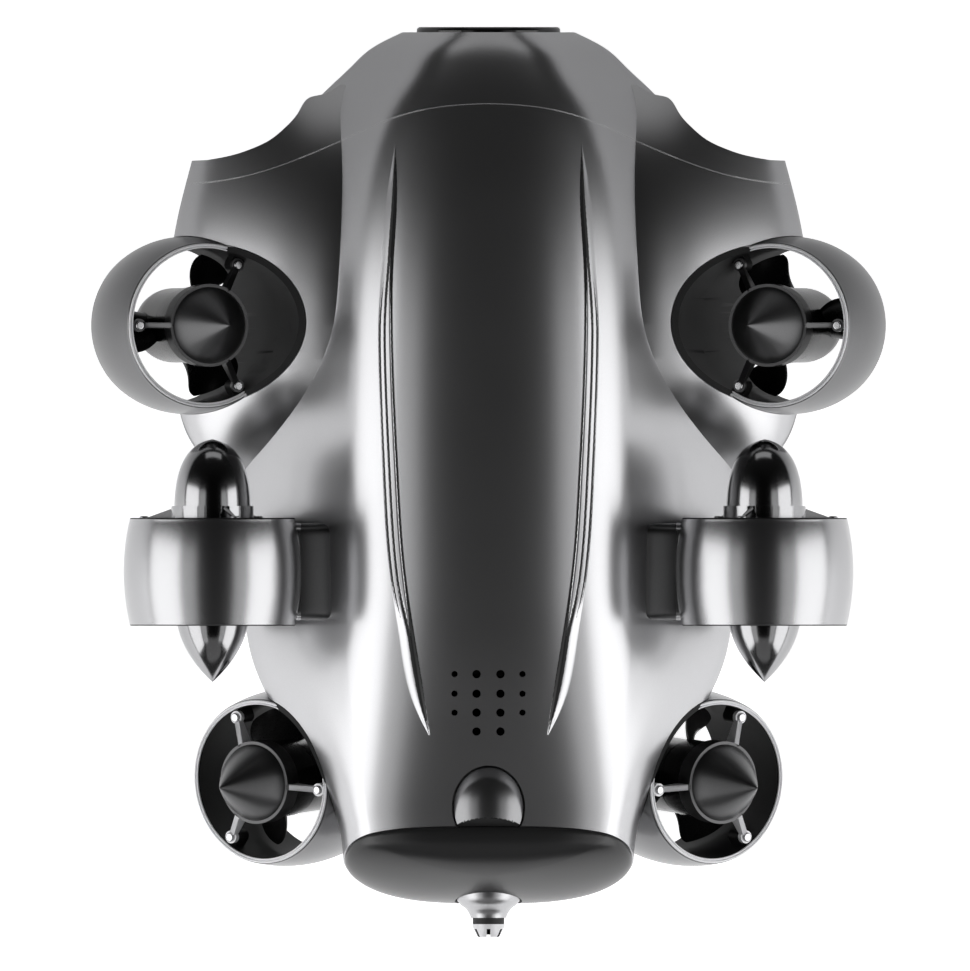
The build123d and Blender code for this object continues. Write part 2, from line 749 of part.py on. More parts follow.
# Bottom shell: cradles for the pressure hull, bosses for the mount's inserts and the screws
upright = (Align.CENTER, Align.CENTER, Align.MIN)
insert_places = [(0, y) for y in insert_stations]
screw_places = [(x, y) for y in belly_screw_stations for x in (-belly_screw_x, belly_screw_x)]
with BuildPart() as belly_bosses:
    with Locations(*[(0, y, wall / 2) for y in cradle_stations]):
        Box(cradle_width, cradle_thickness, tube_z - 14 - wall / 2, align=upright)
    add(along_y([(0, tube_rear_y), (tube_radius + seat_gap, tube_rear_y),
                 (tube_radius + seat_gap, bulkhead_front_y), (0, bulkhead_front_y)], 0, tube_z), mode=Mode.SUBTRACT)
    with Locations(*[(x, y, wall / 2) for x, y in insert_places]):
        Cylinder(insert_boss, insert_height + wall / 2 + 1, align=upright)
    with Locations(*[(x, y, wall / 2) for x, y in screw_places]):
        Cylinder(belly_boss_radius, belly_boss_height, align=upright)

with BuildPart() as belly_bores:
    with Locations(*insert_places):
        Cylinder(insert_radius + press_gap, insert_height + 2 * seat_gap, align=upright)
    with Locations(*screw_places):
        Cylinder(belly_screw_radius + press_gap, belly_boss_height - 1, align=upright)
        Cylinder(belly_head_radius + seat_gap, belly_head_height + seat_gap, align=upright)

with BuildPart() as bottom_shell:
    add(hull_wall.part)
    add(ahead_of_seam(seam_gap), mode=Mode.SUBTRACT, clean=False)
    add(above_parting(-seam_gap / 2), mode=Mode.SUBTRACT, clean=False)
    add(belly_bosses.part, clean=False)
    add(belly_bores.part, mode=Mode.SUBTRACT)
write(bottom_shell.part, "bottom_shell")
print("bottom shell", len(bottom_shell.solids()))

with BuildPart() as mount_inserts:
    with Locations(*[(x, y, seat_gap) for x, y in insert_places]):
        Cylinder(insert_radius, insert_height, align=upright)
        Cylinder(insert_bore, insert_height, align=upright, mode=Mode.SUBTRACT)
write(mount_inserts.part, "mount_inserts")

with BuildPart() as belly_screws:
    with Locations(*[(x, y, seat_gap) for x, y in screw_places]):
        Cylinder(belly_head_radius, belly_head_height, align=upright)
        Cylinder(belly_screw_radius, belly_boss_height - 2, align=upright)
write(belly_screws.part, "belly_screws")

# Port plug: an oval dome, cut by the tail plane
with BuildPart() as port_dome:
    with BuildSketch(Plane.XZ):
        with BuildLine():
            Line((0, 0), (0, port_crown - port_floor))
            ThreePointArc((0, port_crown - port_floor),
                          (0.5 * port_half_width, port_crown - port_floor - 0.22 * port_edge_drop),
                          (port_half_width, port_crown - port_floor - port_edge_drop))
            Line((port_half_width, port_crown - port_floor - port_edge_drop), (port_half_width, 0))
            Line((port_half_width, 0), (0, 0))
        make_face()
    revolve(axis=Axis.Z)
    scale(by=(1, port_half_length / port_half_width, 1))

with BuildPart() as tail_plug:
    with Locations((0, port_y, port_floor)):
        add(port_dome.part)
    add(behind_tail(-seat_gap), mode=Mode.SUBTRACT)
write(tail_plug.part, "tail_plug")

# Tail cap: a lens on the tail plane, with a spigot inside the hull's wall
with BuildPart() as cap_dome:
    with BuildSketch(Plane.XZ):
        with BuildLine():
            Line((0, seat_gap), (0, cap_bulge))
            ThreePointArc((0, cap_bulge), (0.5 * cap_half_width, 0.77 * cap_bulge), (cap_half_width, seat_gap))
            Line((cap_half_width, seat_gap), (0, seat_gap))
        make_face()
    revolve(axis=Axis.Z)
    scale(by=(1, cap_half_height / cap_half_width, 1))

with BuildPart() as tail_cap:
    with Locations(tail_plane.location * Location((0, cap_centre, 0))):
        add(cap_dome.part)
    add(barrel_solid(cap_inset), mode=Mode.INTERSECT)
    with BuildSketch(tail_plane.offset(1.0)):
        with Locations((0, cap_centre - cap_stem_drop)):
            Ellipse(cap_stem_width, cap_stem_height)
    extrude(amount=-cap_spigot - 1.0)
    add(along_y([(0, -reach), (gland_profile[0][0] + press_gap, -reach), (gland_profile[0][0] + press_gap, 0),
                 (0, 0)], 0, gland_z), mode=Mode.SUBTRACT)
write(tail_cap.part, "tail_cap")
print("tail cap", len(tail_cap.solids()))

# Gland: a turned boss, a seal at its neck, and a slotted collet
gland_front = -158.0
seal_length = 1.6
boss_points = [(gland_bore, gland_front), (gland_profile[0][0], gland_front)] + gland_profile
boss_points += [(gland_bore, gland_profile[-1][1])]
write(along_y(boss_points, 0, gland_z), "gland_boss")
seal_end = collet_from - seal_length
write(along_y([(gland_bore, collet_from), (collet_root - 0.6, collet_from), (collet_root - 0.6, seal_end),
               (gland_bore, seal_end)], 0, gland_z), "gland_seal")
with BuildPart() as gland_collet:
    add(along_y([(gland_bore, seal_end), (collet_root, seal_end), (collet_tip, collet_to), (gland_bore, collet_to)],
                0, gland_z))
    for turn in range(6):
        with Locations(Location((0, collet_to, gland_z), (0, 60 * turn, 0))):
            Box(2 * collet_root, 2 * (seal_end - collet_to) * 0.62, collet_slot,
                align=(Align.MIN, Align.CENTER, Align.CENTER), mode=Mode.SUBTRACT)
write(gland_collet.part, "gland_collet")

# Camera: bezel, window, lens barrel and housing, all turned about its axis
lip = window_radius - 1.6
write(along_y([(window_radius + press_gap, bezel_from), (bezel_radius, bezel_from),
               (bezel_radius, bezel_front - 1.4), (bezel_radius - 1.4, bezel_front), (lip + 1.2, bezel_front),
               (lip, window_front), (window_radius + press_gap, window_front)], 0, camera_z), "camera_bezel")
window_back = window_front - window_thickness
write(along_y([(0, window_back), (window_radius, window_back), (window_radius, window_front - seat_gap / 5),
               (0, window_front - seat_gap / 5)], 0, camera_z), "camera_window")
housing_back = bulkhead_front_y + bulkhead
housing_step = housing_back + 8.0
write(along_y([(0, housing_back), (barrel_radius, housing_back), (barrel_radius, bezel_from),
               (barrel_radius - 3, bezel_from), (barrel_radius - 3, housing_step), (0, housing_step)],
              0, camera_z), "camera_housing")
lens_front = window_back - 4.0
write(along_y([(0, housing_step), (lens_radius + 4, housing_step), (lens_radius + 4, housing_step + 22),
               (lens_radius, housing_step + 22), (lens_radius, lens_front), (lens_radius - 1.6, lens_front),
               (lens_radius - 4.0, lens_front - 3), (0, lens_front - 1.8)], 0, camera_z), "camera_lens")

# Lamps: a bezel cup, a reflector and a clear glass on each side
lamp_back = -lamp_depth
cup = [(0, lamp_back), (lamp_radius, lamp_back), (lamp_radius, 0.6), (lamp_radius - 0.6, 1.2),
       (lamp_radius - lamp_rim, 1.2), (lamp_radius - lamp_rim, lamp_back + 3), (0, lamp_back + 3)]
glass_radius = lamp_radius - lamp_rim - press_gap
glass = [(0, 0.8 - lamp_glass), (glass_radius, 0.8 - lamp_glass), (glass_radius, 0.8), (0, 0.8)]
bowl_top = 0.8 - lamp_glass - press_gap
bowl = [(0, lamp_back + 3), (4.0, lamp_back + 3), (glass_radius, bowl_top), (glass_radius - 0.8, bowl_top),
        (3.4, lamp_back + 4.4), (0, lamp_back + 4.4)]
for profile, name in ((cup, "lamp_bezels"), (bowl, "lamp_reflectors"), (glass, "lamp_glasses")):
    with BuildPart() as turned:
        with BuildSketch(Plane.XZ):
            with BuildLine():
                Polyline(*profile, close=True)
            make_face()
        revolve(axis=Axis.Z)
    with BuildPart() as pair:
        for side in (-1, 1):
            with Locations(lamp_frame(side).location):
                add(turned.part)
    write(pair.part, name)

# Pressure hull with its two bulkheads, the battery and the main board
tube_inner = tube_radius - tube_wall
tube_front_y = bulkhead_front_y
write(along_y([(tube_inner, tube_rear_y), (tube_radius, tube_rear_y), (tube_radius, tube_front_y),
               (tube_inner, tube_front_y)], 0, tube_z), "pressure_hull")
plug_radius = tube_inner - press_gap
flange_radius = tube_radius + flange_over
write(along_y([(0, tube_front_y - spigot), (plug_radius, tube_front_y - spigot), (plug_radius, tube_front_y),
               (flange_radius, tube_front_y), (flange_radius, tube_front_y + bulkhead),
               (0, tube_front_y + bulkhead)], 0, tube_z), "front_bulkhead")
write(along_y([(0, tube_rear_y - bulkhead), (flange_radius, tube_rear_y - bulkhead), (flange_radius, tube_rear_y),
               (plug_radius, tube_rear_y), (plug_radius, tube_rear_y + spigot), (0, tube_rear_y + spigot)],
              0, tube_z), "rear_bulkhead")

tube_middle = (tube_front_y + tube_rear_y) / 2
battery_low = tube_z - math.sqrt(tube_inner ** 2 - (battery_size[0] / 2) ** 2) + seat_gap
battery_high = battery_low + battery_size[2]
with BuildPart() as battery_pack:
    with Locations((0, tube_middle, battery_low)):
        Box(*battery_size, align=(Align.CENTER, Align.CENTER, Align.MIN))
    fillet(battery_pack.edges().filter_by(Axis.Z), 4)
write(battery_pack.part, "battery_pack")

with BuildPart() as main_board:
    with Locations((0, tube_middle, tube_z + board_rise)):
        Box(*board_size, align=(Align.CENTER, Align.CENTER, Align.MIN))
    with Locations((0, tube_middle, battery_high)):
        with GridLocations(battery_size[0] - 4 * post_radius, battery_size[1] - 20, 2, 2):
            Cylinder(post_radius, tube_z + board_rise - battery_high,
                     align=(Align.CENTER, Align.CENTER, Align.MIN))
write(main_board.part, "main_board")

whole = Compound(children=list(names.values()))
box = whole.bounding_box()
print("size", [round(v, 2) for v in (box.size.X, box.size.Y, box.size.Z)],
      "low", [round(v, 2) for v in (box.min.X, box.min.Y, box.min.Z)])
print(len(names), "pieces")
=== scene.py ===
"""Looks of the underwater inspection vehicle: fine surfaces, finishes, studio and camera.

Lengths in the numbers below are millimetres; meshes are made in metres.
"""

import json
import math

import bmesh
import bpy
import numpy as np
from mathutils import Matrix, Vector


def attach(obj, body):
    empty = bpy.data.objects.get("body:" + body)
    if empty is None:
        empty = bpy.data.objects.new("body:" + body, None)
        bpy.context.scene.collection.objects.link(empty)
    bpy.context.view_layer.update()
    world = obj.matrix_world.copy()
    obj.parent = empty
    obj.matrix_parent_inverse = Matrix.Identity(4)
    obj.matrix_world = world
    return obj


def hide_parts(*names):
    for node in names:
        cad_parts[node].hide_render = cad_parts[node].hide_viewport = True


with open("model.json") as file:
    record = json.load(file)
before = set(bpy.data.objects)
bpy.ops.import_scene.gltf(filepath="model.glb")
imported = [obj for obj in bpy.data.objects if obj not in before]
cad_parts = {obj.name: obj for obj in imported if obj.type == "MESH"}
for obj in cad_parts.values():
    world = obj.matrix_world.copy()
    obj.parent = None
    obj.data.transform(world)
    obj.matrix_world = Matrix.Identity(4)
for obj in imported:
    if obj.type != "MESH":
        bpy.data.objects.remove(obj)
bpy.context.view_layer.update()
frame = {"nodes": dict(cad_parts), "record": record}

MM = 0.001
WALL = 2.4
SEAT_GAP = 0.25

# Cutters reach beyond the vehicle: half their width, and the depth of boxes
FAR = 260
DEPTH = 300

# Barrel hull: station, half width, widest level, crown level, belly level, fullness
BARREL_STATIONS = np.array([
    (188, 36, 66, 100, 34, 0), (182, 47.8, 65, 104, 27, 0), (174, 57, 63, 108, 21, 0),
    (162, 69.6, 60, 112.5, 14, 0), (140, 84, 57, 118, 5, 0), (105, 95, 54, 123.5, -3, 0),
    (60, 101, 53, 127, -4, 0), (0, 103.5, 53, 128, -4, 0), (-45, 102.5, 55, 126, -3, 0),
    (-75, 98.5, 60, 121.5, 3, 0.1), (-100, 86, 68, 115.5, 14, 0.35), (-120, 72.5, 74, 110.5, 24, 0.7),
    (-140, 63.5, 76, 105.5, 34, 1), (-160, 60.5, 76, 101, 42, 1), (-185, 60, 76, 98, 46, 1)], float)
TOP_SHARES = np.array([(0, 1), (0.30, 1.0), (0.46, 0.931), (0.583, 0.72), (0.783, 0.377), (1.0, 0.07),
                       (1, 0)])
FULL_SHARES = np.array([(0, 1), (0.40, 1.0), (0.62, 0.97), (0.80, 0.80), (0.95, 0.62), (1.0, 0.30), (1, 0)])
LOW_SHARES = np.array([(1, 0), (1, -0.30), (0.88, -0.62), (0.72, -0.78), (0.56, -0.94), (0.38, -1.0),
                       (0, -1)])

# Shoulder: station, outer half width, edge level, top level, underside level
SHOULDER_STATIONS = np.array([
    (168, 116, 55, 69, 30), (140, 122.5, 54, 86, 24), (115, 129, 53, 94.5, 20), (88, 133.5, 52, 98.5, 18),
    (62, 134, 51, 98, 18), (42, 131.5, 50.5, 91, 20), (25, 128, 50, 81, 24), (12, 121, 49.5, 71, 30),
    (2, 110, 49, 62, 36)], float)
SHOULDER_ROOT = 30.0
SHOULDER_FLAT = 60.0
SHOULDER_EDGE = np.array([(62.0, 166.0), (69.6, 162.0), (75.3, 160.5), (79.6, 154.4), (84.6, 148.6),
                          (91.1, 143.2), (98.4, 139.6), (105.5, 137.1), (117.8, 134.6)])
COWL_SEAM = np.array([(0.0, 158.4), (13.0, 157.8), (38.0, 153.0), (61.0, 143.2), (80.3, 135.0),
                      (102.6, 127.9), (140.0, 124.0)])
PARTING = np.array([(200.0, 52.0), (100.0, 52.0), (0.0, 52.0), (-50.0, 55.0), (-80.0, 61.0),
                    (-110.0, 71.0), (-140.0, 76.0), (-200.0, 76.0)])
SEAM = 0.45

# Tail plane, cap, port and gland
TAIL_Y, TAIL_Z = -158.0, 76.0
TAIL_LEAN = math.atan(0.5)
CAP_BULGE = 12.5
CAP_INSET = 0.6
PORT_Y = -136.0
PORT_HALF = (14.4, 16.6)
PORT_CROWN = 110.5
PORT_FLOOR = 90.0
WELL_WALL = 2.0
GLAND_Z = 61.0
CORD_R = 2.2

# Ribs beside the spine and the vents
RIB_OUTER = np.array([(38.9, 142.5), (43.3, 117.0), (45.8, 82.8), (46.2, 57.3), (45.6, 34.0), (44.2, 0.0),
                      (42.0, -32.6), (37.5, -66.0), (32.3, -91.0), (25.0, -106.0)])
RIB_INNER = np.array([(38.9, 142.5), (38.1, 117.0), (39.5, 91.5), (39.8, 65.8), (38.9, 34.0), (37.2, 0.0),
                      (35.0, -32.6), (30.4, -66.0), (26.4, -91.0), (24.4, -106.0)])
RIB_HEIGHT = 0.85
RIB_ROWS, RIB_COLUMNS = 420, 57
# Grooves across a rib, as shares of its width: place in the middle and at the ends, half width at both. At
# the ends the cut fades out, and the widened grooves are only a painted shade on the inner slope
RIB_GROOVES = ((0.12, 0.15, 0.075, 0.14), (0.56, 0.36, 0.075, 0.13), (0.88, 0.62, 0.070, 0.0))
VENTS = [(x, y, r) for row, y in enumerate((-80.3, -88.5, -96.4, -104.3))
         for x, r in ((5.0, 1.75), (14.2, 1.3)) if row < 3 or x < 10]

# Camera and lamps
CAMERA_Z = 66.0
LAMP_AT = (94.9, 138.7, 54.0)
LAMP_YAW = math.radians(28.8)

# Thruster along its own axis
BORE, END_R, MID_R, LENGTH = 32.2, 34.7, 37.2, 45.1
ABOVE, BELOW = 90.0, -130.0
COLLAR_AT = 18.5
ARM_Y, ARM_LEVEL = -37.5, 90.2
HUB_R = 15.75
LEG_TURN = math.radians(67.0)

# Nose of a pod: length, share of it that stays full, tip's width and tip's length
TILTED_NOSE = (29.5, 0.15, 0.42, 0.35)
LEVEL_NOSE = (32.9, 0.55, 0.72, 0.06)
NOSE_FROM = 4.0
POD_R = 16.0

# Port side thrusters: place of the rim's centre, and angles that give the axis and one guard leg
FRONT_RIM, FRONT_TILT = (-118.3, 65.5, 82.6), math.radians(20.0)
MIDDLE_RIM, MIDDLE_ROLL = (-115.4, -15.0, 100.0), math.radians(19.0)
REAR_RIM, REAR_LEAN, REAR_YAW = (-95.1, -125.2, 61.0), math.radians(36.6), math.radians(8.9)


# Curves

def natural_spline(x, y, at):
    """Natural cubic spline through the points (x, y), evaluated at `at`; y may have several columns."""
    order = np.argsort(x)
    x, y = np.asarray(x, float)[order], np.asarray(y, float)[order]
    y = y.reshape(len(x), -1)
    h = np.diff(x)
    n = len(x)
    system = np.zeros((n, n))
    right = np.zeros_like(y)
    system[0, 0] = system[-1, -1] = 1
    inner = np.arange(1, n - 1)
    system[inner, inner - 1] = h[:-1]
    system[inner, inner] = 2 * (h[:-1] + h[1:])
    system[inner, inner + 1] = h[1:]
    slope = np.diff(y, axis=0) / h[:, None]
    right[1:-1] = 6 * np.diff(slope, axis=0)
    curve = np.linalg.solve(system, right)
    at = np.atleast_1d(np.asarray(at, float))
    k = np.clip(np.searchsorted(x, at) - 1, 0, n - 2)
    t = (at - x[k])[:, None]
    hk = h[k][:, None]
    value = (y[k] + t * (slope[k] - hk * (2 * curve[k] + curve[k + 1]) / 6)
             + t ** 2 * curve[k] / 2 + t ** 3 * (curve[k + 1] - curve[k]) / (6 * hk))
    return value


def chord_spline(points, count):
    """A smooth line through plan points, sampled at `count` even steps of its chord length."""
    run = np.concatenate([[0], np.cumsum(np.linalg.norm(np.diff(points, axis=0), axis=1))])
    return natural_spline(run, points, np.linspace(0, run[-1], count))


def bezier(control, t):
    """Cubic Bezier curve; control has shape (..., 4, 2) and t is a row of shares."""
    t = np.asarray(t)
    weights = np.stack([(1 - t) ** 3, 3 * t * (1 - t) ** 2, 3 * t ** 2 * (1 - t), t ** 3], axis=-1)
    return np.einsum("tk,...kc->...tc", weights, control)


def arc(centre, radius, start, end, count):
    """Points of an arc in a profile's (radius, distance) plane, with angles in degrees."""
    turn = np.radians(np.linspace(start, end, count))
    return np.stack([centre[0] + radius * np.cos(turn), centre[1] + radius * np.sin(turn)], axis=-1)


# Meshes

def linked(name, data):
    """A new object with its mesh, lamp or camera, in the scene."""
    obj = bpy.data.objects.new(name, data)
    bpy.context.collection.objects.link(obj)
    return obj


def mesh_object(name, verts, faces):
    """A new object from points in millimetres and a list or array of faces, with faces turned outward."""
    mesh = bpy.data.meshes.new(name)
    mesh.from_pydata(np.asarray(verts, float) * MM, [], [list(map(int, f)) for f in faces])
    work = bmesh.new()
    work.from_mesh(mesh)
    bmesh.ops.remove_doubles(work, verts=work.verts, dist=2e-6)
    bmesh.ops.recalc_face_normals(work, faces=work.faces)
    work.to_mesh(mesh)
    work.free()
    return linked(name, mesh)


def grid_faces(rows, columns, wrap_rows=False, wrap_columns=False):
    """Quads of a grid of points, numbered row by row."""
    r = np.arange(rows if wrap_rows else rows - 1)[:, None]
    c = np.arange(columns if wrap_columns else columns - 1)[None, :]
    r1, c1 = (r + 1) % rows, (c + 1) % columns
    corners = np.broadcast_arrays(r * columns + c, r * columns + c1, r1 * columns + c1, r1 * columns + c)
    return np.stack(corners, axis=-1).reshape(-1, 4)


def tube_object(name, rings):
    """A closed solid through rings of points, shape (rings, points, 3), with flat ends."""
    rows, columns = rings.shape[:2]
    faces = [tuple(f) for f in grid_faces(rows, columns, wrap_columns=True)]
    faces.append(tuple(range(columns)))
    faces.append(tuple((rows - 1) * columns + i for i in reversed(range(columns))))
    return mesh_object(name, rings.reshape(-1, 3), faces)


def placed_tube(name, rings, at):
    """A closed solid through rings of points given in a frame's own coordinates."""
    return tube_object(name, placed(rings.reshape(-1, 3), at).reshape(rings.shape))


def axis_frame(place, axis, side):
    """A 3 by 4 frame: columns are the side, the third direction, the axis and the place."""
    axis = np.array(axis, float) / np.linalg.norm(axis)
    side = np.array(side, float)
    side = side - axis * side.dot(axis)
    side /= np.linalg.norm(side)
    return np.stack([side, np.cross(axis, side), axis, np.array(place, float)], axis=1)


def standing(x, y):
    """An upright frame over a plan point."""
    return axis_frame((x, y, 0), (0, 0, 1), (1, 0, 0))


def placed(points, at):
    """Points in a frame's own coordinates, moved to the vehicle's."""
    return points @ at[:, :3].T + at[:, 3]


def lathe(name, profile, at, segments=96, scale=(1.0, 1.0)):
    """Turns a profile of (radius, distance) about a frame's axis; scale squeezes it to an oval.
    A profile that leaves the axis on both ends is closed into a ring."""
    profile = np.asarray(profile, float)
    turn = np.linspace(0, 2 * math.pi, segments, endpoint=False)
    x = profile[:, 0][:, None] * np.cos(turn)[None] * scale[0]
    y = profile[:, 0][:, None] * np.sin(turn)[None] * scale[1]
    z = np.broadcast_to(profile[:, 1][:, None], x.shape)
    points = placed(np.stack([x, y, z], axis=-1).reshape(-1, 3), at)
    closed = profile[0, 0] > 1e-6 or profile[-1, 0] > 1e-6
    faces = grid_faces(len(profile), segments, wrap_rows=closed, wrap_columns=True)
    return mesh_object(name, points, faces)


def prism(name, outline, low, high, upright=True):
    """An outline of plan points (or of side view points) drawn out between two levels (or widths)."""
    outline = np.asarray(outline, float)
    ends = []
    for level in (low, high):
        flat = np.full(len(outline), level)
        ends.append(np.stack([outline[:, 0], outline[:, 1], flat] if upright else
                             [flat, outline[:, 0], outline[:, 1]], axis=-1))
    return tube_object(name, np.stack(ends))


def block(name, centre, size, at):
    """A box in a frame's own coordinates, as a cutter."""
    round_trip = ((-1, -1), (1, -1), (1, 1), (-1, 1))
    corner = np.array([(x, y, z) for z in (-1, 1) for x, y in round_trip], float) / 2
    return tube_object(name, placed(corner * size + centre, at).reshape(2, 4, 3))


def combine(target, tools, operation, keep=False):
    """Joins, cuts or trims a closed mesh with others, and removes the tools."""
    for tool in tools:
        step = target.modifiers.new("step", "BOOLEAN")
        step.operation = operation
        step.solver = "MANIFOLD"
        step.object = tool
    bpy.context.view_layer.update()
    view = bpy.context.evaluated_depsgraph_get()
    result = bpy.data.meshes.new_from_object(target.evaluated_get(view))
    target.modifiers.clear()
    old = target.data
    target.data = result
    bpy.data.meshes.remove(old)
    if not keep:
        for tool in tools:
            discard(tool)
    return target


def discard(obj):
    """Removes an object with its mesh."""
    mesh = obj.data
    bpy.data.objects.remove(obj)
    bpy.data.meshes.remove(mesh)


def twin(obj, name):
    """A copy of an object with its own mesh."""
    return linked(name, obj.data.copy())


def mirrored(obj, name):
    """A copy mirrored in the vehicle's centre plane, with its faces turned outward again."""
    copy = twin(obj, name)
    count = len(copy.data.vertices)
    points = np.empty(count * 3)
    copy.data.vertices.foreach_get("co", points)
    points = points.reshape(-1, 3) * (-1, 1, 1)
    copy.data.vertices.foreach_set("co", points.ravel())
    copy.data.flip_normals()
    return copy


def smooth(obj, angle=32):
    """Smooth shading with edges kept sharp above an angle in degrees."""
    mesh = obj.data
    mesh.polygons.foreach_set("use_smooth", np.ones(len(mesh.polygons), bool))
    mesh.set_sharp_from_angle(angle=math.radians(angle))
    return obj


def barrel_controls(y, inset):
    """Control points of the barrel's upper and lower half sections at stations y."""
    values = natural_spline(BARREL_STATIONS[:, 0], BARREL_STATIONS[:, 1:], y)
    half, widest, crown, belly, full = values.T
    full = np.clip(full, 0, 1)
    shares = TOP_SHARES + full[:, None, None] * (FULL_SHARES - TOP_SHARES)
    top = np.stack([shares[..., 0] * (half - inset)[:, None],
                    widest[:, None] + shares[..., 1] * (crown - inset - widest)[:, None]], axis=-1)
    low = np.stack([LOW_SHARES[None, :, 0] * (half - inset)[:, None],
                    widest[:, None] + LOW_SHARES[None, :, 1] * (widest - belly - inset)[:, None]], axis=-1)
    return top, low


def barrel_rings(inset, rows, columns):
    """Points of the barrel: each section is four Bezier arcs a side, with control points as shares of the
    half width and of the height over or under the widest level, run along the hull as natural splines."""
    y = np.linspace(188, -185, rows)
    top, low = barrel_controls(y, inset)
    crowded = np.linspace(0, 1, columns)
    spread = np.linspace(0, 1, columns // 3)
    side = np.concatenate([bezier(top[:, 0:4], crowded)[:, :-1], bezier(top[:, 3:7], spread)[:, :-1],
                           bezier(low[:, 0:4], spread)[:, :-1], bezier(low[:, 3:7], spread)], axis=1)
    ring = np.concatenate([side, side[:, -2:0:-1] * (-1, 1)], axis=1)
    station = np.broadcast_to(y[:, None], ring.shape[:2])
    return np.stack([ring[..., 0], station, ring[..., 1]], axis=-1)


def deck_level(x, y):
    """Height of the deck over plan points: the section's first Bezier arc, solved for x by halving."""
    controls = barrel_controls(y, 0.0)[0][:, 0:4]
    low, high = np.zeros(x.shape), np.ones(x.shape)

    def along(t, axis):
        c = controls[:, None, :, axis]
        u = 1 - t
        return (u ** 3 * c[..., 0] + 3 * t * u ** 2 * c[..., 1] + 3 * t ** 2 * u * c[..., 2]
                + t ** 3 * c[..., 3])

    for _ in range(26):
        middle = (low + high) / 2
        short = along(middle, 0) < x
        low, high = np.where(short, middle, low), np.where(short, high, middle)
    return along((low + high) / 2, 1)


def rib_strip(name, side):
    """A rib on the deck: a crescent between two lines whose height is a rounded ridge across, cut by three
    lengthwise grooves that run together at both ends. Faces in the grooves get the second material, a dark
    painted shade, which at the ends, where the cut fades out, is painted alone on the ridge's inner slope."""
    front, back = 142.3, -105.8
    y = np.linspace(front, back, RIB_ROWS)
    inner = natural_spline(RIB_INNER[:, 1], RIB_INNER[:, 0], y)
    outer = natural_spline(RIB_OUTER[:, 1], RIB_OUTER[:, 0], y)
    share = np.linspace(0, 1, RIB_COLUMNS)[None]
    x = inner + (outer - inner) * share
    ends = np.clip((y[:, None] - 62) / 34, 0, 1) + np.clip((-40 - y[:, None]) / 26, 0, 1)
    ends = ends * ends * (3 - 2 * ends)
    body = np.clip((outer - inner) / 3.2, 0, 1) ** 1.5
    ridge = np.clip(share / 0.30, 0, 1) * np.clip((1 - share) / (0.16 + 0.42 * ends), 0, 1)
    ridge = ridge * ridge * (3 - 2 * ridge)
    depth = np.zeros(x.shape)
    for middle, moved, half, wide in RIB_GROOVES:
        centre = middle + (moved - middle) * ends
        width = half + (wide - half) * ends
        trough = np.clip(1.6 * (1 - np.abs(share - centre) / np.maximum(width, 0.002)), 0, 1)
        depth = np.maximum(depth, trough * np.clip(width / 0.05, 0, 1))
    level = deck_level(x, y)
    rise = RIB_HEIGHT * body * ridge * (1 - 0.45 * depth * (1 - ends)) - 0.015
    top = np.stack([x * side, np.broadcast_to(y[:, None], x.shape), level + rise], axis=-1)
    under = top[:, [-1, 0]] - (0, 0, 1.2)
    strip = tube_object(name, np.concatenate([top, under], axis=1))

    def groove_shade(centres, normals):
        """Upward faces that lie deep in a groove: they get the painted shade."""
        last_row, last_column = RIB_ROWS - 1, RIB_COLUMNS - 1
        row = np.round((front - centres[:, 1]) / (front - back) * last_row).astype(int)
        row = np.clip(row, 0, last_row)
        place = (np.abs(centres[:, 0]) - inner[row, 0]) / np.maximum(outer[row, 0] - inner[row, 0], 0.01)
        column = np.clip(np.round(place * last_column).astype(int), 0, last_column)
        return (depth[row, column] * body[row, 0] > 0.42) & (normals[:, 2] > 0.2)

    return strip, groove_shade


def barrel(name, inset, rows, columns):
    """The barrel as a closed solid."""
    return tube_object(name, barrel_rings(inset, rows, columns))


def shoulder(name, inset, rows, columns):
    """Port shoulder: a flat top that falls to the outer edge on one Bezier and returns on another,
    run along the hull as natural splines and trimmed in plan by its leading edge."""
    y = np.linspace(168, 2, rows)
    half, edge, top, under = natural_spline(SHOULDER_STATIONS[:, 0], SHOULDER_STATIONS[:, 1:], y).T
    outer, high, low = half - inset, top - inset, under + inset
    run = outer - SHOULDER_FLAT
    flat = np.full_like(outer, SHOULDER_FLAT)

    def arc_controls(*points):
        return np.stack([np.stack(point, -1) for point in points], axis=1)

    upper = arc_controls((flat, high), (flat + 0.45 * run, high), (outer, edge + 0.33 * (high - edge)),
                         (outer, edge))
    lower = arc_controls((outer, edge), (outer, edge - 0.45 * (edge - low)), (flat + 0.62 * run, low),
                         (flat, low))
    shares = np.linspace(0, 1, columns)
    root = np.full_like(outer, SHOULDER_ROOT)
    ring = np.concatenate([np.stack([root, high], -1)[:, None], bezier(upper, shares)[:, :-1],
                           bezier(lower, shares), np.stack([root, low], -1)[:, None]], axis=1)
    station = np.broadcast_to(y[:, None], ring.shape[:2])
    body = tube_object(name, np.stack([-ring[..., 0], station, ring[..., 1]], axis=-1))
    line = chord_spline(SHOULDER_EDGE, 60) * (-1, 1) - (0, inset)
    tip, first = line[-1], line[0]
    outline = np.concatenate([line, [(-FAR, tip[1] - 6), (-FAR, -FAR), (0, -FAR), (0, first[1])]])
    return combine(body, [prism("plan_trim", outline, -FAR, FAR)], "INTERSECT")


def hull_mass(name, inset, rows, columns):
    """Barrel and both shoulders as one closed solid, cut flat under the belly."""
    port = shoulder("port_shoulder", inset, rows // 2, columns // 3)
    starboard = mirrored(port, "starboard_shoulder")
    mass = combine(barrel(name, inset, rows, columns), [port, starboard], "UNION")
    over = block("belly_cut", (0, 0, DEPTH / 2 + inset), (2 * FAR, 2 * FAR, DEPTH), standing(0, 0))
    return combine(mass, [over], "INTERSECT")


tail_frame = axis_frame((0, TAIL_Y, TAIL_Z), (0, -math.cos(TAIL_LEAN), math.sin(TAIL_LEAN)), (1, 0, 0))


